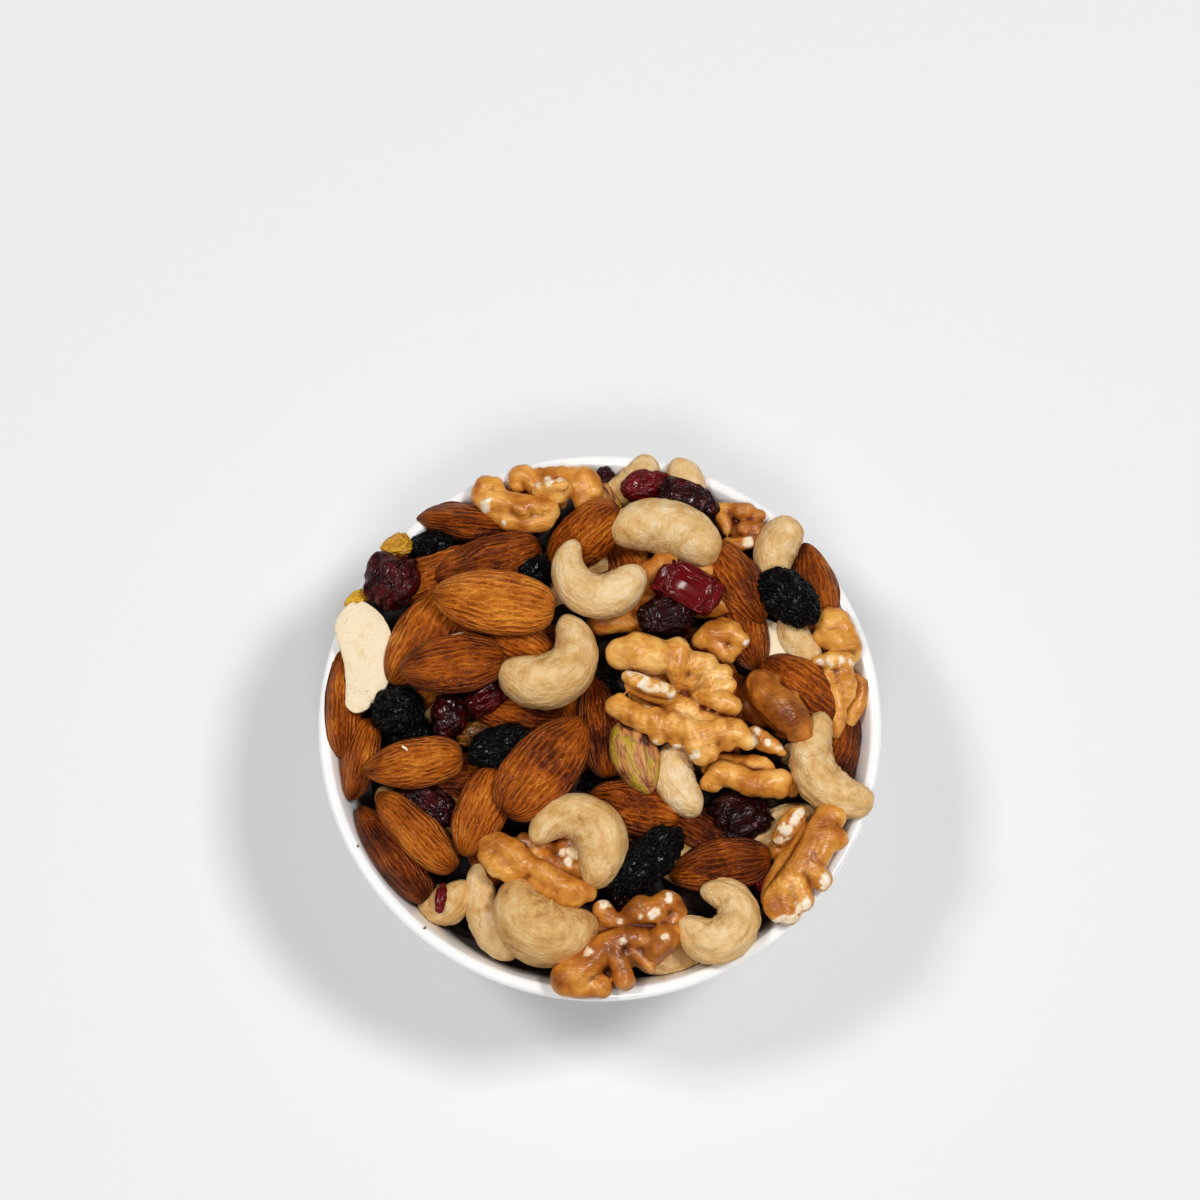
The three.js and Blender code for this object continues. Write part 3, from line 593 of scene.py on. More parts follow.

# ---------------------------------------------------------------------------------------------------
# Walnuts
# Kernel halves and broken pieces: smooth swollen ridges and fingers under a thin tan skin, worn white
# in spots. The knobs are painted paler, partly as wear and partly as a painted highlight, and the
# hollows darker as painted shade. The ridges are set out along chains of balls, joined, and closed
# over as one skin.
# ---------------------------------------------------------------------------------------------------

# Each kernel is a tone and its ridges. A ridge is a chain of (column, row, rise over the rim in mm,
# girth in mm), where girth is the ridge's radius there.
WALNUTS = [
    (0.50, [
        [(487, 488, 4, 2.9), (482, 496, 4, 2.6), (492, 502, 4.5, 2.8), (505, 503, 5, 2.6), (520, 505, 5, 2.6),
         (535, 506, 5, 2.4), (548, 508, 4.5, 2.4)],
        [(492, 506, 3.5, 2.8), (508, 517, 3, 3.0), (525, 521, 3, 2.9), (542, 520, 3, 2.8), (551, 512, 4, 2.0)],
        [(503, 504, 6.5, 1.1), (504, 509, 6, 1.0)],
        [(517, 507, 6.8, 1.3), (524, 511, 6.5, 1.2)],
        [(540, 506, 6.5, 1.0), (545, 508, 6.2, 1.1)],
        [(496, 484, 5, 1.6), (500, 496, 5.5, 1.6)],
        [(500, 508, 0, 3.2), (530, 510, 0, 3.4)],
    ]),
    (0.42, [
        [(520, 476, 1.5, 2.5), (518, 484, 1, 2.2)],
        [(524, 474, 2, 2.3), (532, 480, 2.5, 2.2), (538, 490, 2.5, 2.0)],
        [(540, 476, 2, 2.0), (546, 484, 2.5, 2.0)],
        [(551, 475, 2, 2.1), (556, 488, 2.5, 2.0)],
        [(562, 475, 2, 2.1), (568, 490, 2.5, 2.0)],
        [(573, 476, 2, 2.1), (578, 492, 2.5, 2.2)],
        [(586, 479, 2.5, 2.8), (591, 492, 2.5, 2.7), (584, 503, 2, 2.2)],
        [(594, 480, 2.5, 1.6), (597, 492, 2.5, 1.5)],
        [(535, 484, 0, 2.8), (560, 484, 0, 2.9), (585, 488, 0, 3.0)],
    ]),
    (0.55, [
        [(538, 491, 6, 1.5), (550, 487, 7, 1.6), (562, 485, 7.2, 1.5)],
        [(540, 496, 4, 2.0), (556, 494, 4.5, 2.5), (564, 488, 5, 1.8)],
        [(560, 498, 3, 1.8), (562, 504, 1, 1.2)],
    ]),
    (0.30, [
        [(714, 507, 1, 1.2), (726, 507, 1.4, 1.1), (737, 508, 1.8, 1.3)],
        [(741, 511, 2, 1.9), (747, 510, 2, 1.7)],
        [(756, 515, 1.4, 1.2), (761, 515, 1.2, 1.2)],
        [(720, 516, 1.2, 1.5), (725, 522, 1.6, 1.5), (727, 531, 1.8, 1.1)],
        [(744, 529, 1.4, 1.8), (756, 529, 1, 1.7), (766, 530, 0.4, 1.0)],
        [(727, 545, 2.4, 1.6), (738, 545, 2.8, 1.6), (748, 542, 2.8, 1.6)],
        [(757, 540, 1.2, 1.6), (761, 538, 1, 1.2)],
        [(740, 535, -2, 3.4), (728, 520, -2.4, 3.0), (752, 522, -2, 2.6)],
    ]),
    (0.62, [
        [(622, 654, 8.2, 3.6), (638, 651, 9.5, 4.2), (655, 656, 9.6, 4.0)],
        [(676, 651, 9.3, 3.1), (677, 664, 9, 3.0), (679, 678, 6.8, 2.2), (682, 690, 4, 1.8)],
        [(697, 664, 8.5, 2.9), (708, 663, 8.3, 2.2)],
        [(703, 664, 8.2, 2.6), (692, 678, 6.8, 2.5), (684, 690, 4.2, 1.8)],
        [(724, 673, 8, 1.9), (710, 677, 8, 2.4), (696, 684, 6.2, 2.2)],
        [(729, 686, 8, 1.8), (714, 687, 8, 2.2), (698, 691, 5.8, 2.0)],
        [(733, 706, 8, 2.1), (722, 702, 8.4, 2.4), (708, 696, 7.5, 2.2), (694, 692, 5, 1.8)],
        [(628, 677, 11.2, 1.4), (634, 680, 11.6, 1.8), (648, 685, 12, 2.0), (664, 690, 11.4, 1.7),
         (672, 693, 10.4, 1.2)],
        [(632, 686, 9, 1.8), (650, 693, 9, 2.0), (668, 698, 8, 1.8)],
        [(640, 694, 5, 2.6), (670, 704, 5, 2.9), (690, 711, 5, 2.6)],
        [(682, 694, 3.4, 2.2), (688, 706, 4, 2.4)],
        [(616, 706, 8.5, 2.4), (630, 713, 9.5, 2.7), (650, 722, 9.5, 2.5), (672, 728, 9.5, 2.6),
         (698, 733, 9.5, 2.8), (722, 733, 9.5, 2.6), (740, 735, 9, 2.4), (748, 741, 8, 2.0)],
        [(620, 701, 9, 1.8), (636, 717, 10.4, 2.2), (645, 726, 9.6, 1.8)],
        [(655, 718, 10.2, 2.4), (659, 735, 9, 2.2)],
        [(672, 722, 10.2, 2.2), (677, 741, 8.6, 1.8)],
        [(690, 728, 10.4, 2.4), (697, 745, 9.6, 2.8), (701, 754, 8.6, 2.5)],
        [(706, 735, 10, 2.1), (711, 752, 8.6, 2.0)],
        [(722, 728, 10.2, 2.3), (727, 742, 9, 2.1)],
        [(737, 727, 10, 1.9), (748, 741, 8.6, 1.9)],
        [(640, 665, 4, 3.4), (665, 690, 1, 3.8), (700, 720, 3, 3.4)],
        [(650, 712, 3.5, 3.2), (690, 722, 4, 3.4), (730, 730, 4, 3.0)],
        [(685, 672, 3, 3.4), (712, 690, 2.5, 2.8)],
    ]),
    (0.45, [
        [(487, 843, 5, 2.2), (499, 845, 5.5, 2.9), (512, 853, 6, 3.2), (521, 864, 6, 3.2)],
        [(488, 855, 5, 2.4), (498, 864, 5.5, 2.9), (512, 871, 5.5, 2.6)],
        [(507, 874, 5.6, 1.6), (509, 877, 5.4, 1.4)],
        [(527, 866, 5.8, 2.2), (540, 870, 6.8, 2.4), (554, 880, 7, 2.7), (572, 890, 7, 2.8), (587, 892, 6.2, 2.2)],
        [(536, 882, 5.8, 2.0), (549, 890, 6.2, 2.4), (564, 896, 6.2, 2.5), (576, 899, 6, 2.0)],
        [(505, 858, 3, 3.2), (530, 872, 3, 2.4), (560, 888, 4, 2.8)],
    ]),
    (0.30, [
        [(526, 843, 2, 2.4), (538, 845, 2.4, 2.4), (548, 850, 2, 2.2)],
        [(530, 850, 2, 2.6), (545, 860, 2, 3.0), (556, 868, 2.2, 2.6)],
        [(563, 848, 3, 2.2), (572, 843, 3.4, 2.4), (580, 850, 3, 2.2)],
        [(566, 854, 3, 2.4), (572, 864, 3.4, 2.3), (584, 872, 3.2, 2.0)],
        [(580, 877, 2.8, 1.7), (590, 878, 2.6, 1.6)],
        [(540, 856, 0, 4.0), (572, 862, 0, 4.0)],
    ]),
    (0.28, [
        [(603, 910, 4, 2.3), (612, 920, 3.4, 1.9), (621, 921, 3.8, 1.7), (634, 913, 4.5, 2.6), (641, 909, 5, 3.1)],
        [(641, 911, 5, 2.8), (655, 911, 5, 2.8)],
        [(655, 908, 4.6, 2.6), (667, 901, 5, 2.5), (672, 902, 4.8, 2.3), (679, 912, 4, 1.9), (668, 924, 3.6, 2.2)],
        [(678, 932, 3.8, 1.9), (664, 940, 4.5, 3.4), (656, 948, 4.2, 3.0), (642, 936, 3, 2.6)],
        [(588, 951, 4, 1.9), (600, 944, 4.2, 2.2), (616, 940, 4.6, 2.3), (630, 938, 4.8, 2.4), (642, 940, 4.4, 2.4)],
        [(601, 950, 4, 3.0), (590, 962, 4, 3.4), (576, 974, 4, 3.8), (566, 978, 3.8, 3.4)],
        [(566, 984, 3.5, 2.8), (580, 988, 3.5, 2.5), (598, 986, 3.5, 2.4)],
        [(584, 992, 3, 1.6), (585, 993, 3, 1.4)],
        [(600, 985, 3.4, 2.4), (603, 990, 3, 1.9)],
        [(614, 952, 4, 2.6), (620, 964, 4, 2.3), (625, 981, 3.4, 2.3)],
        [(632, 950, 4, 2.0), (641, 958, 3.8, 1.4), (651, 968, 3.4, 1.3)],
        [(600, 930, 0, 3.8), (640, 930, 0, 4.0), (650, 950, 0, 3.6)],
        [(600, 962, 0, 4.0), (625, 950, 0, 4.0)],
    ]),
    (0.52, [
        [(702, 640, 4, 2.4), (714, 633, 5, 2.8), (728, 632, 5.4, 2.6), (741, 640, 5.2, 1.9)],
        [(716, 645, 4.5, 2.4), (725, 654, 4.4, 1.9), (729, 658, 4, 1.4)],
        [(735, 645, 4.6, 1.7), (736, 650, 4.2, 1.3)],
        [(722, 624, 5, 1.7), (735, 628, 5, 1.6)],
        [(710, 638, 2, 3.0), (726, 640, 2, 3.0)],
    ]),
    (0.40, [
        [(650, 577, 3, 3.6), (652, 600, 3, 3.6), (640, 618, 2, 3.4)],
        [(600, 622, 2, 3.0), (618, 620, 3, 2.8), (640, 622, 3, 3.0)],
        [(664, 566, 4, 3.2), (690, 562, 4, 3.4), (712, 572, 4, 3.2), (722, 584, 4, 2.0)],
        [(700, 600, 2, 4.0), (716, 604, 3, 3.4), (730, 606, 3, 2.6)],
    ]),
    (0.50, [
        [(830, 622, 2, 3.2), (838, 622, 2.4, 2.9), (843, 630, 2, 2.6)],
        [(825, 636, 1.6, 2.6), (838, 641, 2.4, 3.0), (850, 643, 1.6, 2.4), (855, 648, 1, 1.7)],
        [(842, 652, 1.2, 2.6), (853, 657, 0.8, 1.8)],
        [(816, 661, 2.4, 1.2), (832, 660, 3.4, 2.0), (847, 661, 3.2, 1.9)],
        [(843, 672, 1.8, 2.2), (846, 684, 2, 2.6), (847, 694, 1.6, 1.9), (843, 705, 1.2, 1.3)],
        [(829, 676, 2, 1.8), (833, 690, 2.2, 2.0), (838, 706, 2, 1.8), (841, 716, 1.6, 1.4)],
        [(836, 712, 1.4, 1.8), (838, 724, 1, 1.6), (836, 734, 0.4, 1.1)],
        [(830, 630, -2, 3.4), (838, 655, -2, 3.4), (838, 690, -1.5, 2.6)],
    ]),
    (0.45, [
        [(855, 679, -1, 1.4), (861, 683, -0.6, 1.6), (862, 690, -0.6, 1.5), (859, 703, -1, 1.7),
         (853, 714, -1.4, 1.9), (848, 724, -1.8, 1.4)],
    ]),
    (0.18, [
        [(760, 683, 6, 3.0), (766, 694, 6.6, 3.6), (778, 704, 7, 4.0), (790, 718, 7, 3.6), (800, 731, 6.2, 2.6)],
        [(766, 680, 6.5, 2.0), (774, 681, 7, 1.5)],
        [(782, 700, 6.8, 2.6), (792, 697, 6.8, 1.7)],
        [(796, 708, 6.6, 2.2), (804, 726, 6.6, 2.1)],
        [(796, 733, 6.4, 2.2), (806, 735, 6.2, 1.8)],
        [(760, 690, 3, 3.0), (772, 708, 3, 3.4), (788, 722, 3, 3.2)],
        [(748, 688, 1, 1.8), (746, 706, 0, 2.4), (760, 716, 0, 3.0)],
    ]),
    (0.42, [
        [(755, 735, 3, 2.0), (763, 741, 3.6, 2.3), (773, 746, 3.5, 1.8), (783, 753, 3, 0.9)],
    ]),
    (0.48, [
        [(712, 781, 3, 2.3), (720, 773, 3.8, 2.8), (734, 776, 4, 2.8), (750, 784, 4.2, 2.8), (766, 784, 4.2, 3.0),
         (780, 781, 4, 2.6)],
        [(734, 780, 3.5, 2.0), (738, 785, 3.3, 1.4)],
        [(778, 784, 3.8, 2.3), (780, 791, 3.6, 1.9)],
        [(708, 783, 3, 1.9), (714, 785, 3, 1.7)],
        [(752, 764, 2, 2.2), (764, 764, 3, 1.6), (768, 768, 3, 1.6)],
        [(712, 766, 1, 2.6), (735, 766, 1, 2.8), (762, 772, 1, 2.8)],
        [(788, 780, 1, 1.8), (792, 790, 0, 1.6)],
    ]),
    (0.45, [
        [(829, 812, 4, 2.5), (834, 817, 4, 2.7)],
        [(826, 816, 4, 2.6), (826, 835, 4.5, 3.0), (836, 839, 4, 2.6)],
        [(826, 840, 4.5, 2.8), (820, 855, 4.5, 2.6), (820, 858, 4, 2.4)],
        [(808, 866, 4.5, 2.6), (822, 880, 4, 2.4)],
        [(796, 882, 4.6, 2.6), (804, 901, 4, 2.4)],
        [(782, 896, 4.4, 2.8), (790, 914, 3.6, 2.4)],
        [(774, 906, 4, 2.4), (777, 914, 3.6, 2.0)],
        [(820, 826, 4, 2.6), (812, 845, 4.4, 2.6), (800, 866, 4.5, 2.6), (786, 884, 4.3, 2.6), (774, 900, 4, 2.5)],
        [(806, 832, 1.5, 2.4), (800, 850, 1, 2.8), (786, 866, 0.5, 2.8), (776, 884, 0.5, 2.8), (772, 898, 1, 2.6)],
        [(778, 852, -1, 2.4), (790, 852, 0, 2.4)],
        [(800, 850, -3, 4.0), (790, 880, -3, 4.0)],
    ]),
    (0.40, [
        [(779, 838, 3.2, 1.8), (787, 828, 4.2, 2.5), (796, 817, 4.2, 2.2), (801, 811, 3.8, 1.3)],
        [(784, 834, 2, 2.0), (796, 822, 2, 2.0)],
    ]),
]

# Where the skin is broken or worn to the white: column, row and reach of the spot in the view.
WORN_SPOTS = [
    (485, 504, 5.5), (487, 509, 4), (504, 523, 3.5), (539, 485, 3.5), (548, 482, 4), (560, 480, 3.5),
    (585, 508, 4), (628, 675, 5), (636, 678, 6), (646, 683, 7), (656, 686, 7), (666, 690, 6), (671, 695, 4),
    (655, 743, 3.5), (676, 747, 5), (697, 755, 4), (690, 759, 3.5), (755, 742, 3.5), (746, 642, 4),
    (604, 903, 5), (620, 922, 4.5), (640, 918, 3.5), (655, 912, 6), (670, 896, 4.5), (589, 951, 4.5),
    (624, 940, 4), (668, 937, 4.5), (825, 883, 6), (823, 889, 4), (804, 908, 7), (798, 911, 5), (786, 919, 5),
    (794, 917, 5), (778, 921, 5), (749, 542, 5), (752, 538, 4), (820, 662, 4), (830, 661, 6), (842, 661, 6),
    (850, 661, 5), (778, 747, 4), (768, 741, 4), (757, 733, 4), (780, 840, 6), (786, 830, 9), (794, 820, 8),
    (800, 811, 5), (562, 852, 5), (568, 862, 6),
]
# Where the fibres of the skin run together: column, row and reach.
FIBRE_HUBS = [(683, 692, 46), (775, 851, 58), (553, 846, 32), (628, 930, 34), (538, 500, 26), (772, 716, 22)]

WALNUT_FINENESS = 0.43 * MM

tan_skin, tree, shader = new_material("walnut_skin")
grain, tone, worn, hollow, knob_wear_and_highlight, fibre = (
    add_node(tree, "ShaderNodeAttribute", attribute_name=name).outputs["Vector" if name == "grain" else "Fac"]
    for name in ("grain", "tone", "worn", "hollow", "knob_wear_and_highlight", "fibre"))
patch = add_node(tree, "ShaderNodeTexNoise", inputs={"Scale": 0.16, "Detail": 3, "Roughness": 0.5})
tree.links.new(grain, patch.inputs["Vector"])
toned = add_math(tree, "MULTIPLY_ADD", add_math(tree, "SUBTRACT", tone, 0.5), 0.8, patch.outputs["Fac"])
skin = add_ramp(tree, toned, [
    (0.10, srgb(128, 68, 18)),
    (0.36, srgb(190, 120, 46)),
    (0.55, srgb(226, 164, 78)),
    (0.75, srgb(244, 198, 122)),
])
swirl = add_node(tree, "ShaderNodeTexNoise", inputs={"Scale": 0.1, "Detail": 1})
tree.links.new(grain, swirl.inputs["Vector"])
swirled = add_node(tree, "ShaderNodeVectorMath", operation="MULTIPLY_ADD")
tree.links.new(swirl.outputs["Color"], swirled.inputs[0])
swirled.inputs[1].default_value = (14, 14, 14)
tree.links.new(grain, swirled.inputs[2])
striae = use_group(tree, furrows, {"Place": swirled.outputs[0]}, {"Fineness": 1.0, "Drawn Out": (0.16, 1, 0.5)})
skin = add_mix(tree, 0.35, skin, add_ramp(tree, striae["Line"], [
    (0.36, srgb(206, 156, 96)),
    (0.50, srgb(255, 255, 255)),
]), "MULTIPLY")
# Partly wear and partly painted highlight: the knobs that stand out of the skin's general run are mixed toward pale
# cream.
skin = add_mix(tree, add_math(tree, "MULTIPLY", knob_wear_and_highlight, 0.6), skin, srgb(250, 216, 152))
skin = add_mix(tree, add_math(tree, "MULTIPLY", fibre, 0.8), skin, srgb(140, 82, 34))
# Painted shade: the skin is darkened with a deep brown where it lies sunk in hollows and creases.
skin = add_mix(tree, hollow, skin, add_mix(tree, 1.0, skin, srgb(118, 58, 20), "MULTIPLY"))
crumbly = add_node(tree, "ShaderNodeTexNoise", inputs={"Scale": 0.9, "Detail": 3})
tree.links.new(grain, crumbly.inputs["Vector"])
flesh = add_ramp(tree, crumbly.outputs["Fac"], [(0.35, srgb(236, 212, 172)), (0.6, srgb(250, 240, 222))])
skin = add_mix(tree, add_math(tree, "MULTIPLY", worn, 0.9), skin, flesh)
tree.links.new(skin, shader.inputs["Base Color"])
tree.links.new(add_math(tree, "MULTIPLY_ADD", worn, 0.3, 0.30), shader.inputs["Roughness"])
shader.inputs["Subsurface Weight"].default_value = 0.08
shader.inputs["Subsurface Radius"].default_value = (1.0, 0.5, 0.2)
shader.inputs["Subsurface Scale"].default_value = 1.0 * MM
relief_height = add_math(tree, "MULTIPLY_ADD", crumbly.outputs["Fac"], add_math(tree, "MULTIPLY", worn, 0.5),
                         add_math(tree, "MULTIPLY", striae["Line"], 0.7))
add_bump(tree, shader, relief_height, 0.5, 0.5 * MM)
shader.inputs["Specular IOR Level"].default_value = 0.45

ball_points, ball_faces = ball(18, 16)


def swollen(start, end):
    """A ball drawn out between two others, each (place, girth)."""
    (first, first_girth), (last, last_girth) = start, end
    along = Vector(last - first)
    turn = np.array(Vector((1, 0, 0)).rotation_difference(along).to_matrix())
    far = ball_points[:, :1] > 0
    girths = np.where(far, last_girth, first_girth)
    return np.where(far, last, first) + ball_points @ turn.T * girths


def closed_over(parts, fineness, smoothing):
    """Overlapping bodies joined under one smooth skin: its points, faces and outward directions, and
    how far each point lies below the skin's general run."""
    first = 0
    faces = []
    for part in parts:
        faces += [tuple(first + corner for corner in face) for face in ball_faces]
        first += len(part)
    mesh = bpy.data.meshes.new("kernel")
    mesh.from_pydata(np.concatenate(parts).tolist(), [], faces)
    body = bpy.data.objects.new("kernel", mesh)
    bpy.context.collection.objects.link(body)
    bpy.ops.object.select_all(action="DESELECT")
    body.select_set(True)
    bpy.context.view_layer.objects.active = body
    remesh = body.modifiers.new("skin", "REMESH")
    remesh.mode = "VOXEL"
    remesh.voxel_size = fineness
    bpy.ops.object.modifier_apply(modifier="skin")
    stages = []
    for rounds in (smoothing, 55):
        smooth = body.modifiers.new("soften", "SMOOTH")
        smooth.factor = 0.5
        smooth.iterations = rounds
        bpy.ops.object.modifier_apply(modifier="soften")
        for kind in ("co", "normal"):
            values = np.empty(len(body.data.vertices) * 3)
            body.data.vertices.foreach_get(kind, values)
            stages.append(values.reshape(-1, 3))
    skin_faces = [tuple(face.vertices) for face in body.data.polygons]
    bpy.data.objects.remove(body)
    points, normals, general, _ = stages
    return points, skin_faces, normals, ((general - points) * normals).sum(axis=1)


walnuts = []
marks = {"worn": [], "hollow": [], "knob_wear_and_highlight": [], "fibre": []}
for tone_value, ridges in WALNUTS:
    seed = draw.uniform(0, 200)
    parts = []
    for ridge in ridges:
        knots = [(np.array(place_seen(column, line, BOWL_HEIGHT + rise * MM)), girth * MM)
                 for column, line, rise, girth in ridge]
        parts += [swollen(start, end) for start, end in zip(knots, knots[1:])]
    points, faces, normals, sunk = closed_over(parts, WALNUT_FINENESS, 4)
    ripple = 0.22 * relief(points / MM, 3.4, (1, 1, 1), seed) + 0.09 * relief(points / MM, 1.3, (1, 1, 1), seed)
    points = points + normals * (ripple * MM)[:, None]
    columns, lines = seen_at(points)
    ragged = 1 + 1.1 * relief(points / MM, 2.0, (1, 1, 1), seed + 3, 3)
    worn_share = np.zeros(len(points))
    for column, line, reach in WORN_SPOTS:
        away = np.hypot(columns - column, lines - line) / reach
        worn_share = np.maximum(worn_share, np.clip((ragged - away) * 3, 0, 1))
    fibre_share = np.zeros(len(points))
    for column, line, reach in FIBRE_HUBS:
        away = np.hypot(columns - column, lines - line) / reach
        bearing = np.arctan2(lines - line, columns - column)
        lines_run = np.sin(bearing * 15 + 2.5 * relief(points / MM, 3, (1, 1, 1), seed + 5))
        fibre_share = np.maximum(fibre_share, np.exp(-(lines_run / 0.3) ** 2) * np.clip(1 - away, 0, 1) ** 0.7)
    marks["worn"].append(worn_share * (normals[:, 2] > -0.2))
    # Painted shade for the hollows, from how deep each point lies below the skin's general run.
    marks["hollow"].append(np.clip(sunk / (0.36 * MM), 0, 1))
    # Wear and painted highlight on the knobs, from how far each point stands out of the skin's general run.
    marks["knob_wear_and_highlight"].append(np.clip(-sunk / (0.8 * MM) - 0.3, 0, 1))
    marks["fibre"].append(fibre_share)
    walnuts.append((clear_of_bowl(points), faces, points / MM + seed, tone_value))
walnut_pieces = join_kind("walnuts", walnuts, tan_skin)
for name, values in marks.items():
    attribute = walnut_pieces.data.attributes.new(name, "FLOAT", "POINT")
    attribute.data.foreach_set("value", np.concatenate(values))

# ---------------------------------------------------------------------------------------------------
# Dried red berries
# Sweetened berries dried to soft, sticky, folded lumps, dark red to nearly black, and glossy. Each is
# a ball squared off a little, folded in by creases.
# ---------------------------------------------------------------------------------------------------

# As for the almonds; tone is 0 for nearly black and 1 for the brightest red, and the last number is
# 1 for a round berry and less for a boxy one.
RED_BERRIES = [
    (690, 588, 9, -29, 0, 12, 16.2, 10.8, 8, 0.95, 0.34),
    (668, 616, 7, 10, 0, 0, 13.5, 10.5, 9, 0.25, 0.6),
    (644, 486, 3, 8, 0, 0, 11, 6.5, 6.5, 0.85, 0.8),
    (680, 500, 3, -20, 0, 0, 12, 10, 8, 0.35, 0.7),
    (705, 503, 2, -60, 0, 0, 9, 5, 6, 0.30, 0.8),
    (447, 716, 2, 80, 0, 0, 9.5, 8, 8, 0.40, 0.8),
    (487, 699, 3, 35, 0, 0, 11, 6.5, 6.5, 0.55, 0.8),
    (428, 808, -1, -35, 0, 0, 13, 11, 8, 0.35, 0.7),
    (391, 581, 4, 60, 0, 0, 13.2, 12, 11, 0.45, 0.9),
    (441, 899, 0.6, 80, 0, 0, 8, 3, 2.4, 0.9, 0.6),
    (740, 815, 0, 20, 0, 0, 14, 11, 9, 0.20, 0.75),
    (762, 880, -1, 60, 0, 0, 5, 3, 3, 0.80, 0.6),
    (606, 479, -1, 90, 0, 0, 7, 4.5, 4.5, 0.30, 0.8),
]


def folded_berries(rows, depth, fold, lumpiness):
    """Berries of the rows, as balls squared off and drawn in along creases."""
    berries = []
    for row in rows:
        long, wide, thick, tone_value, squareness = row[6:11]
        seed = draw.uniform(0, 200)
        boxy = np.sign(ball_points) * np.abs(ball_points) ** squareness
        boxy = boxy / np.maximum(1, np.linalg.norm(boxy, axis=1))[:, None] ** 0.6
        size = np.array((long, wide, thick)) / 2
        creases = 1 - np.abs(relief(ball_points * size, fold, (2.2, 1, 1), seed, 2)) * 3
        lumps = relief(ball_points * size, fold * 2.5, (1, 1, 1), seed + 5)
        shrink = 1 - depth * np.clip(creases, 0, 1) + lumpiness * lumps
        points = boxy * size * shrink[:, None]
        berries.append((lay(points, row), ball_faces, ball_points * size + seed, tone_value))
    return berries


def berry_material(name, stops, roughness, wrinkling, dusting, dust_colour):
    """The skin of a dried berry: a ramp from dark to bright in noise patches set by its tone, wet or dusty."""
    skin_material, tree, shader = new_material(name)
    grain = add_node(tree, "ShaderNodeAttribute", attribute_name="grain").outputs["Vector"]
    tone = add_node(tree, "ShaderNodeAttribute", attribute_name="tone").outputs["Fac"]
    patch = add_node(tree, "ShaderNodeTexNoise", inputs={"Scale": 0.32, "Detail": 5, "Roughness": 0.65})
    tree.links.new(grain, patch.inputs["Vector"])
    toned = add_math(tree, "MULTIPLY_ADD", add_math(tree, "SUBTRACT", tone, 0.5), 0.6, patch.outputs["Fac"])
    colour = add_ramp(tree, toned, stops)
    dust = use_group(tree, flecks, {"Place": grain}, {"Fineness": 1.3, "Share": dusting})["Fleck"]
    colour = add_mix(tree, add_math(tree, "MULTIPLY", dust, 0.6), colour, dust_colour)
    tree.links.new(colour, shader.inputs["Base Color"])
    tree.links.new(add_math(tree, "MULTIPLY_ADD", patch.outputs["Fac"], 0.2, roughness - 0.1),
                   shader.inputs["Roughness"])
    wrinkle = use_group(tree, furrows, {"Place": grain}, {"Fineness": 0.75, "Drawn Out": (0.55, 1, 1)})["Line"]
    crease = add_math(tree, "ABSOLUTE", add_math(tree, "SUBTRACT", wrinkle, 0.5))
    add_bump(tree, shader, add_math(tree, "MINIMUM", crease, 0.12), 1.0, wrinkling)
    return skin_material, shader


red_skin, shader = berry_material("red_berry_skin", [
    (0.15, srgb(20, 4, 5)),
    (0.42, srgb(50, 6, 8)),
    (0.62, srgb(92, 6, 9)),
    (0.90, srgb(122, 5, 10)),
], 0.22, 1.6 * MM, 0.10, srgb(206, 150, 120))
shader.inputs["Specular IOR Level"].default_value = 0.3
shader.inputs["Coat Weight"].default_value = 0.12
shader.inputs["Coat Roughness"].default_value = 0.08
shader.inputs["Subsurface Weight"].default_value = 0.08
shader.inputs["Subsurface Radius"].default_value = (1.0, 0.1, 0.08)
shader.inputs["Subsurface Scale"].default_value = 2 * MM
ball_points, ball_faces = ball(64, 44)
buried = [row + (draw.uniform(0.1, 0.6), 0.8) for row in deeper(6, 13, 11, 8)]
join_kind("dried_red_berries", folded_berries(RED_BERRIES + buried, 0.16, 2.8, 0.24), red_skin)

# ---------------------------------------------------------------------------------------------------
# Raisins
# Whole dried grapes, nearly black with a grey bloom, deeply wrinkled, and a few golden ones that let
# the light through.
# ---------------------------------------------------------------------------------------------------

RAISINS = [
    (431, 546, 0, 10, 0, 0, 10, 7, 6, 0.5, 0.95),
    (532, 569, 4, 30, 0, 0, 8, 7, 6, 0.4, 0.95),
    (398, 711, 3, 0, 0, 0, 11.7, 11, 9, 0.6, 0.95),
    (410, 738, -1, 0, 0, 0, 11, 9, 8, 0.3, 0.95),
    (499, 746, 6, 22, 0, 0, 14.5, 9, 7, 0.6, 0.95),
    (646, 861, 6, 40, 0, 0, 20.5, 10, 8, 0.5, 0.95),
    (788, 597, 6, -40, 0, 0, 16.5, 10.5, 8, 0.5, 0.95),
]
GOLDEN_RAISINS = [
    (397, 546, 3, 20, 0, 0, 7, 5.5, 5, 0.8, 0.95),
    (357, 600, 1.5, 30, 0, 0, 6, 4, 4, 0.9, 0.95),
    (473, 735, -1, 0, 0, 0, 9, 6, 6, 0.1, 0.95),
]

black_skin, shader = berry_material("raisin_skin", [
    (0.25, srgb(4, 4, 5)),
    (0.50, srgb(9, 9, 10)),
    (0.75, srgb(20, 20, 22)),
], 0.27, 4 * MM, 0.09, srgb(150, 146, 142))
shader.inputs["Specular IOR Level"].default_value = 0.28
buried = [row + (0.4, 0.95) for row in deeper(6, 14, 9, 7)]
join_kind("raisins", folded_berries(RAISINS + buried, 0.13, 1.3, 0.12), black_skin)

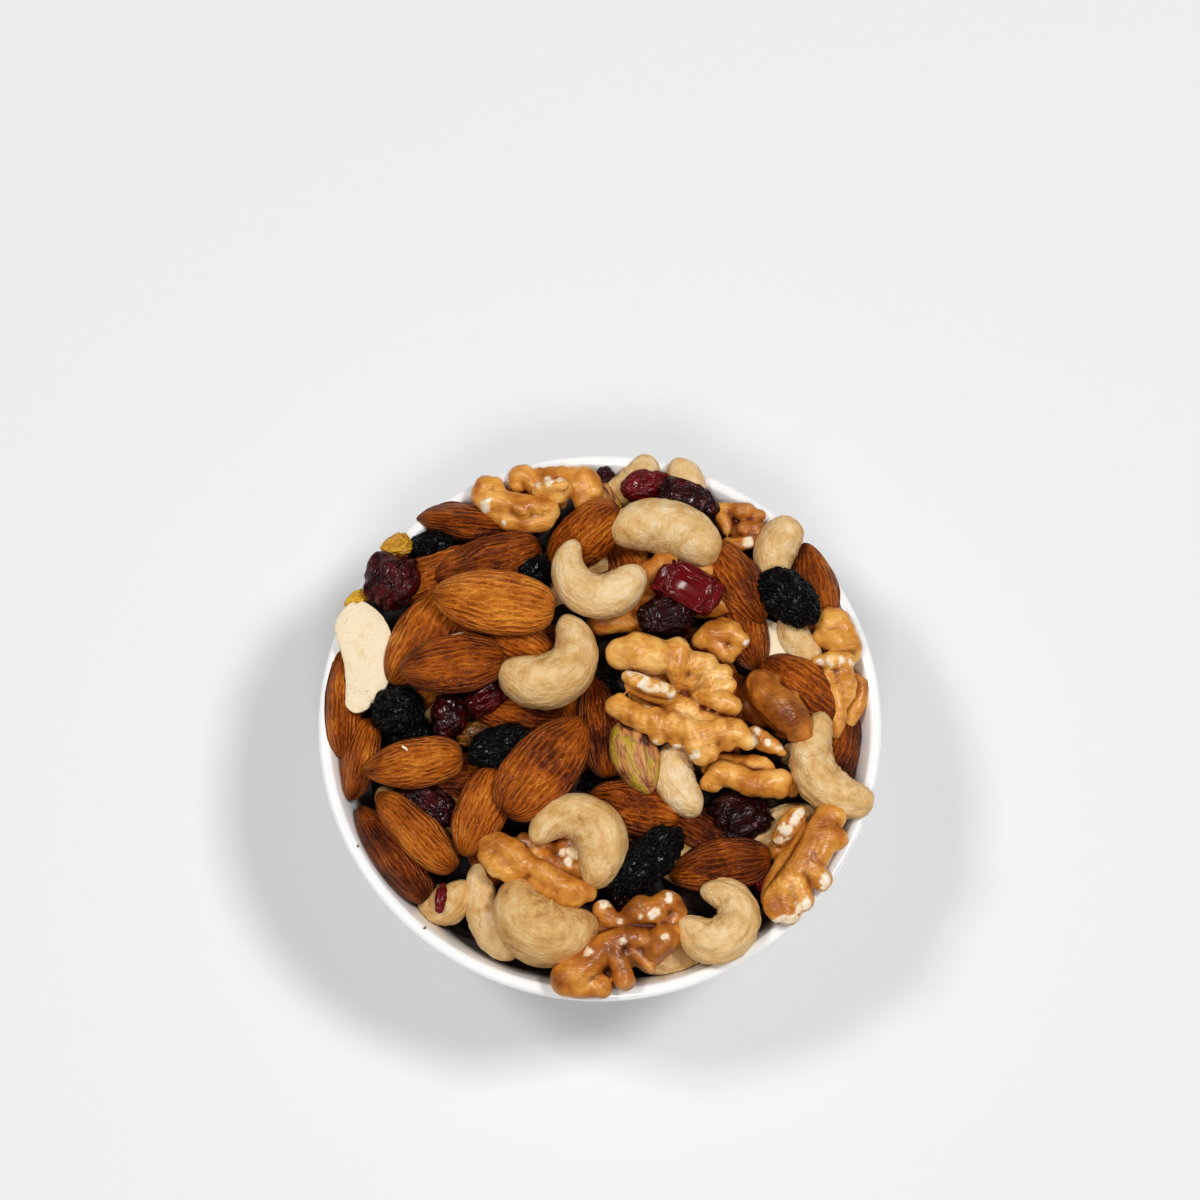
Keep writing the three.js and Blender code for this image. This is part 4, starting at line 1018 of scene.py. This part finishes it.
golden_skin, shader = berry_material("golden_raisin_skin", [
    (0.15, srgb(96, 56, 26)),
    (0.50, srgb(184, 124, 34)),
    (0.80, srgb(224, 176, 52)),
], 0.3, 2 * MM, 0.05, srgb(240, 220, 170))
shader.inputs["Subsurface Weight"].default_value = 0.3
shader.inputs["Subsurface Radius"].default_value = (1.0, 0.6, 0.15)
shader.inputs["Subsurface Scale"].default_value = 2 * MM
join_kind("golden_raisins", folded_berries(GOLDEN_RAISINS, 0.14, 1.3, 0.2), golden_skin)

# ---------------------------------------------------------------------------------------------------
# Pistachios
# Green kernels half out of their purple-brown skin, ridged from end to end.
# ---------------------------------------------------------------------------------------------------

PISTACHIOS = [
    (636, 757, 5, -71, 0, 0, 17, 10, 9, 0.6),
    (608, 508, 0, 100, 0, 0, 12, 6, 6, 0.4),
]

green_kernel, tree, shader = new_material("pistachio_kernel")
grain = add_node(tree, "ShaderNodeAttribute", attribute_name="grain").outputs["Vector"]
patch = use_group(tree, furrows, {"Place": grain}, {"Fineness": 0.42, "Drawn Out": (0.35, 1, 1)})["Line"]
streak = use_group(tree, furrows, {"Place": grain}, {"Fineness": 1.4, "Drawn Out": (0.2, 1, 1)})["Line"]
kernel = add_ramp(tree, patch, [
    (0.34, srgb(84, 44, 28)),
    (0.43, srgb(182, 120, 72)),
    (0.54, srgb(206, 152, 90)),
    (0.60, srgb(190, 158, 52)),
    (0.72, srgb(164, 148, 40)),
])
kernel = add_mix(tree, add_math(tree, "MULTIPLY", add_math(tree, "LESS_THAN", streak, 0.44), 0.5),
                 kernel, srgb(110, 70, 52))
tree.links.new(kernel, shader.inputs["Base Color"])
shader.inputs["Roughness"].default_value = 0.5
add_bump(tree, shader, streak, 0.7, 0.6 * MM)
pistachios = []
for row in PISTACHIOS:
    long, wide, thick, tone_value = row[6:10]
    x, y, z = ball_points.T
    seed = draw.uniform(0, 200)
    taper = 1.08 * ((1 - x) / 2 + 0.25) ** 0.25
    spread = np.stack((x * long / 2, y * wide / 2, z * thick / 2), axis=1)
    ridges = 1 + 0.12 * relief(spread, 2.4, (4, 1, 1), seed) - 0.16 * np.exp(-(y / 0.1) ** 2) * (z > 0)
    points = spread * np.stack((np.ones(len(x)), taper * ridges, taper * ridges), axis=1)
    pistachios.append((lay(points, row), ball_faces, spread + seed, tone_value))
join_kind("pistachios", pistachios, green_kernel)

# ---------------------------------------------------------------------------------------------------
# Crumbs and slivers
# Thin curls of pale almond that lie between the nuts, small chips of walnut, and two brown crumbs on
# the rim. Each is a ball flattened and pinched out of round.
# ---------------------------------------------------------------------------------------------------

# As for the almonds; tone is 0 for brown skin and 1 for pale flesh.
CRUMBS = [
    (454, 622, 4.6, -42, 0, 60, 4.8, 1.5, 0.7, 0.95),
    (447, 639, 5.6, 18, 0, 40, 7.5, 1.4, 0.7, 0.90),
    (405, 748, 8.4, 140, 0, 0, 1.7, 0.5, 0.4, 1.00),
    (425, 928, 0.2, 30, 0, 0, 0.7, 0.5, 0.4, 0.10),
    (358, 846, 0.2, 80, 0, 0, 0.6, 0.4, 0.4, 0.20),
    (577, 855, 5.2, -20, 0, 0, 5.0, 2.6, 1.6, 0.80),
    (592, 884, 4.4, 40, 0, 0, 2.2, 1.6, 1.2, 0.55),
    (800, 838, 1.6, 70, 0, 0, 2.6, 1.8, 1.2, 0.90),
    (515, 781, 5.0, 10, 0, 0, 1.4, 1.0, 0.8, 0.60),
    (668, 776, 5.6, 65, 0, 0, 2.0, 0.8, 0.6, 0.75),
]

crumb_skin, tree, shader = new_material("crumb_skin")
grain = add_node(tree, "ShaderNodeAttribute", attribute_name="grain").outputs["Vector"]
tone = add_node(tree, "ShaderNodeAttribute", attribute_name="tone").outputs["Fac"]
gritty = add_node(tree, "ShaderNodeTexNoise", inputs={"Scale": 1.4, "Detail": 4})
tree.links.new(grain, gritty.inputs["Vector"])
toned = add_math(tree, "MULTIPLY_ADD", add_math(tree, "SUBTRACT", gritty.outputs["Fac"], 0.5), 0.5, tone)
tree.links.new(add_ramp(tree, toned, [
    (0.1, srgb(120, 66, 30)),
    (0.5, srgb(196, 140, 80)),
    (0.8, srgb(238, 214, 166)),
    (1.0, srgb(248, 236, 210)),
]), shader.inputs["Base Color"])
shader.inputs["Roughness"].default_value = 0.55
add_bump(tree, shader, gritty.outputs["Fac"], 0.5, 0.3 * MM)
ball_points, ball_faces = ball(20, 14)
crumbs = []
for row in CRUMBS:
    seed = draw.uniform(0, 200)
    size = np.array(row[6:9]) / 2
    curl = 0.5 * size[1] * ball_points[:, :1] ** 2 * np.array((0, 1, 0))
    pinched = 1 + 0.3 * relief(ball_points, 0.9, (1, 1, 1), seed)
    points = ball_points * size * pinched[:, None] + curl
    crumbs.append((lay(points, row), ball_faces, ball_points * size + seed, row[9]))
join_kind("crumbs", crumbs, crumb_skin)

# ---------------------------------------------------------------------------------------------------
# The heap's core
# Everything that lies under the nuts that show, as one lumpy body that fills the bowl, coloured a
# near-black brown as painted shade. Its top stays well under the nuts, so that the gaps between them
# are deep and dark.
# ---------------------------------------------------------------------------------------------------

CORE_DEPTH = 8 * MM
CORE_REACH = 6 * MM
CORE_SIDES = 120
CORE_RINGS = 46

kinds = (ALMONDS, CASHEWS, RED_BERRIES, RAISINS, GOLDEN_RAISINS, PISTACHIOS)
spots = [row[:3] for kind in kinds for row in kind]
spots += [knot[:3] for _, ridges in WALNUTS for ridge in ridges for knot in ridge[::2]]
middles = np.array([place_seen(column, line, BOWL_HEIGHT + rise * MM) for column, line, rise in spots])
core_edge = inner_wall[-1][0] - 1.2 * MM

bpy.ops.object.select_all(action="DESELECT")
bpy.ops.mesh.primitive_circle_add(vertices=CORE_SIDES, radius=inner_wall[0][0] - NUT_GAP,
                                  fill_type="NGON", location=(0, 0, inner_wall[0][1] + NUT_GAP))
heap_core = bpy.context.object
heap_core.name = "heap_core"
bpy.ops.object.mode_set(mode="EDIT")
bpy.ops.mesh.select_mode(type="EDGE")
bpy.ops.mesh.select_all(action="SELECT")
for (radius, height), (next_radius, next_height) in zip(inner_wall[:14] - NUT_GAP, inner_wall[1:14] - NUT_GAP):
    bpy.ops.mesh.extrude_edges_move(TRANSFORM_OT_translate={"value": (0, 0, next_height - height)})
    bpy.ops.transform.resize(value=(next_radius / radius, next_radius / radius, 1))
ring = next_radius
for step in range(1, CORE_RINGS):
    next_ring = next_radius * (1 - step / CORE_RINGS)
    bpy.ops.mesh.extrude_edges_move(TRANSFORM_OT_translate={"value": (0, 0, 0)})
    bpy.ops.transform.resize(value=(next_ring / ring, next_ring / ring, 1))
    ring = next_ring
bpy.ops.mesh.edge_face_add()
bpy.ops.mesh.select_all(action="SELECT")
bpy.ops.mesh.normals_make_consistent(inside=False)
bpy.ops.object.mode_set(mode="OBJECT")
bpy.ops.object.transform_apply(location=True, rotation=True, scale=True)
top_start = next_height - 0.01 * MM
for vertex in heap_core.data.vertices:
    x, y, z = vertex.co
    radius = math.hypot(x, y)
    if z > top_start:
        weights = np.exp(-((middles[:, 0] - x) ** 2 + (middles[:, 1] - y) ** 2) / CORE_REACH ** 2) + 1e-6
        level = float((weights * middles[:, 2]).sum() / weights.sum()) - CORE_DEPTH
        lumps = noise.fractal(Vector((x, y, 0)) / (7 * MM), 1.0, 2.0, 2) * 1.6 * MM
        edge_share = min(1, (next_radius - radius) / (4 * MM))
        vertex.co.z = z + (level + lumps - z) * edge_share if radius < next_radius - 1e-5 else z
bpy.ops.object.shade_smooth()

# Painted shade: the hidden nuts are coloured near-black brown, as the deep gaps between the nuts look in shade.
shade_dark_brown, tree, shader = new_material("hidden_nuts_painted_shade")
place = add_node(tree, "ShaderNodeTexCoord").outputs["Object"]
patch = add_node(tree, "ShaderNodeTexNoise", inputs={"Scale": 110, "Detail": 4})
tree.links.new(place, patch.inputs["Vector"])
tree.links.new(add_ramp(tree, patch.outputs["Fac"], [
    (0.35, srgb(14, 7, 4)),
    (0.50, srgb(30, 15, 8)),
    (0.65, srgb(56, 30, 15)),
]), shader.inputs["Base Color"])
shader.inputs["Roughness"].default_value = 0.7
lumpy = add_node(tree, "ShaderNodeTexNoise", inputs={"Scale": 300, "Detail": 4})
tree.links.new(place, lumpy.inputs["Vector"])
add_bump(tree, shader, lumpy.outputs["Fac"], 0.8, 1.5 * MM)
heap_core.data.materials.append(shade_dark_brown)
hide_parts("mixed_nuts")
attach(heap_core, "root")
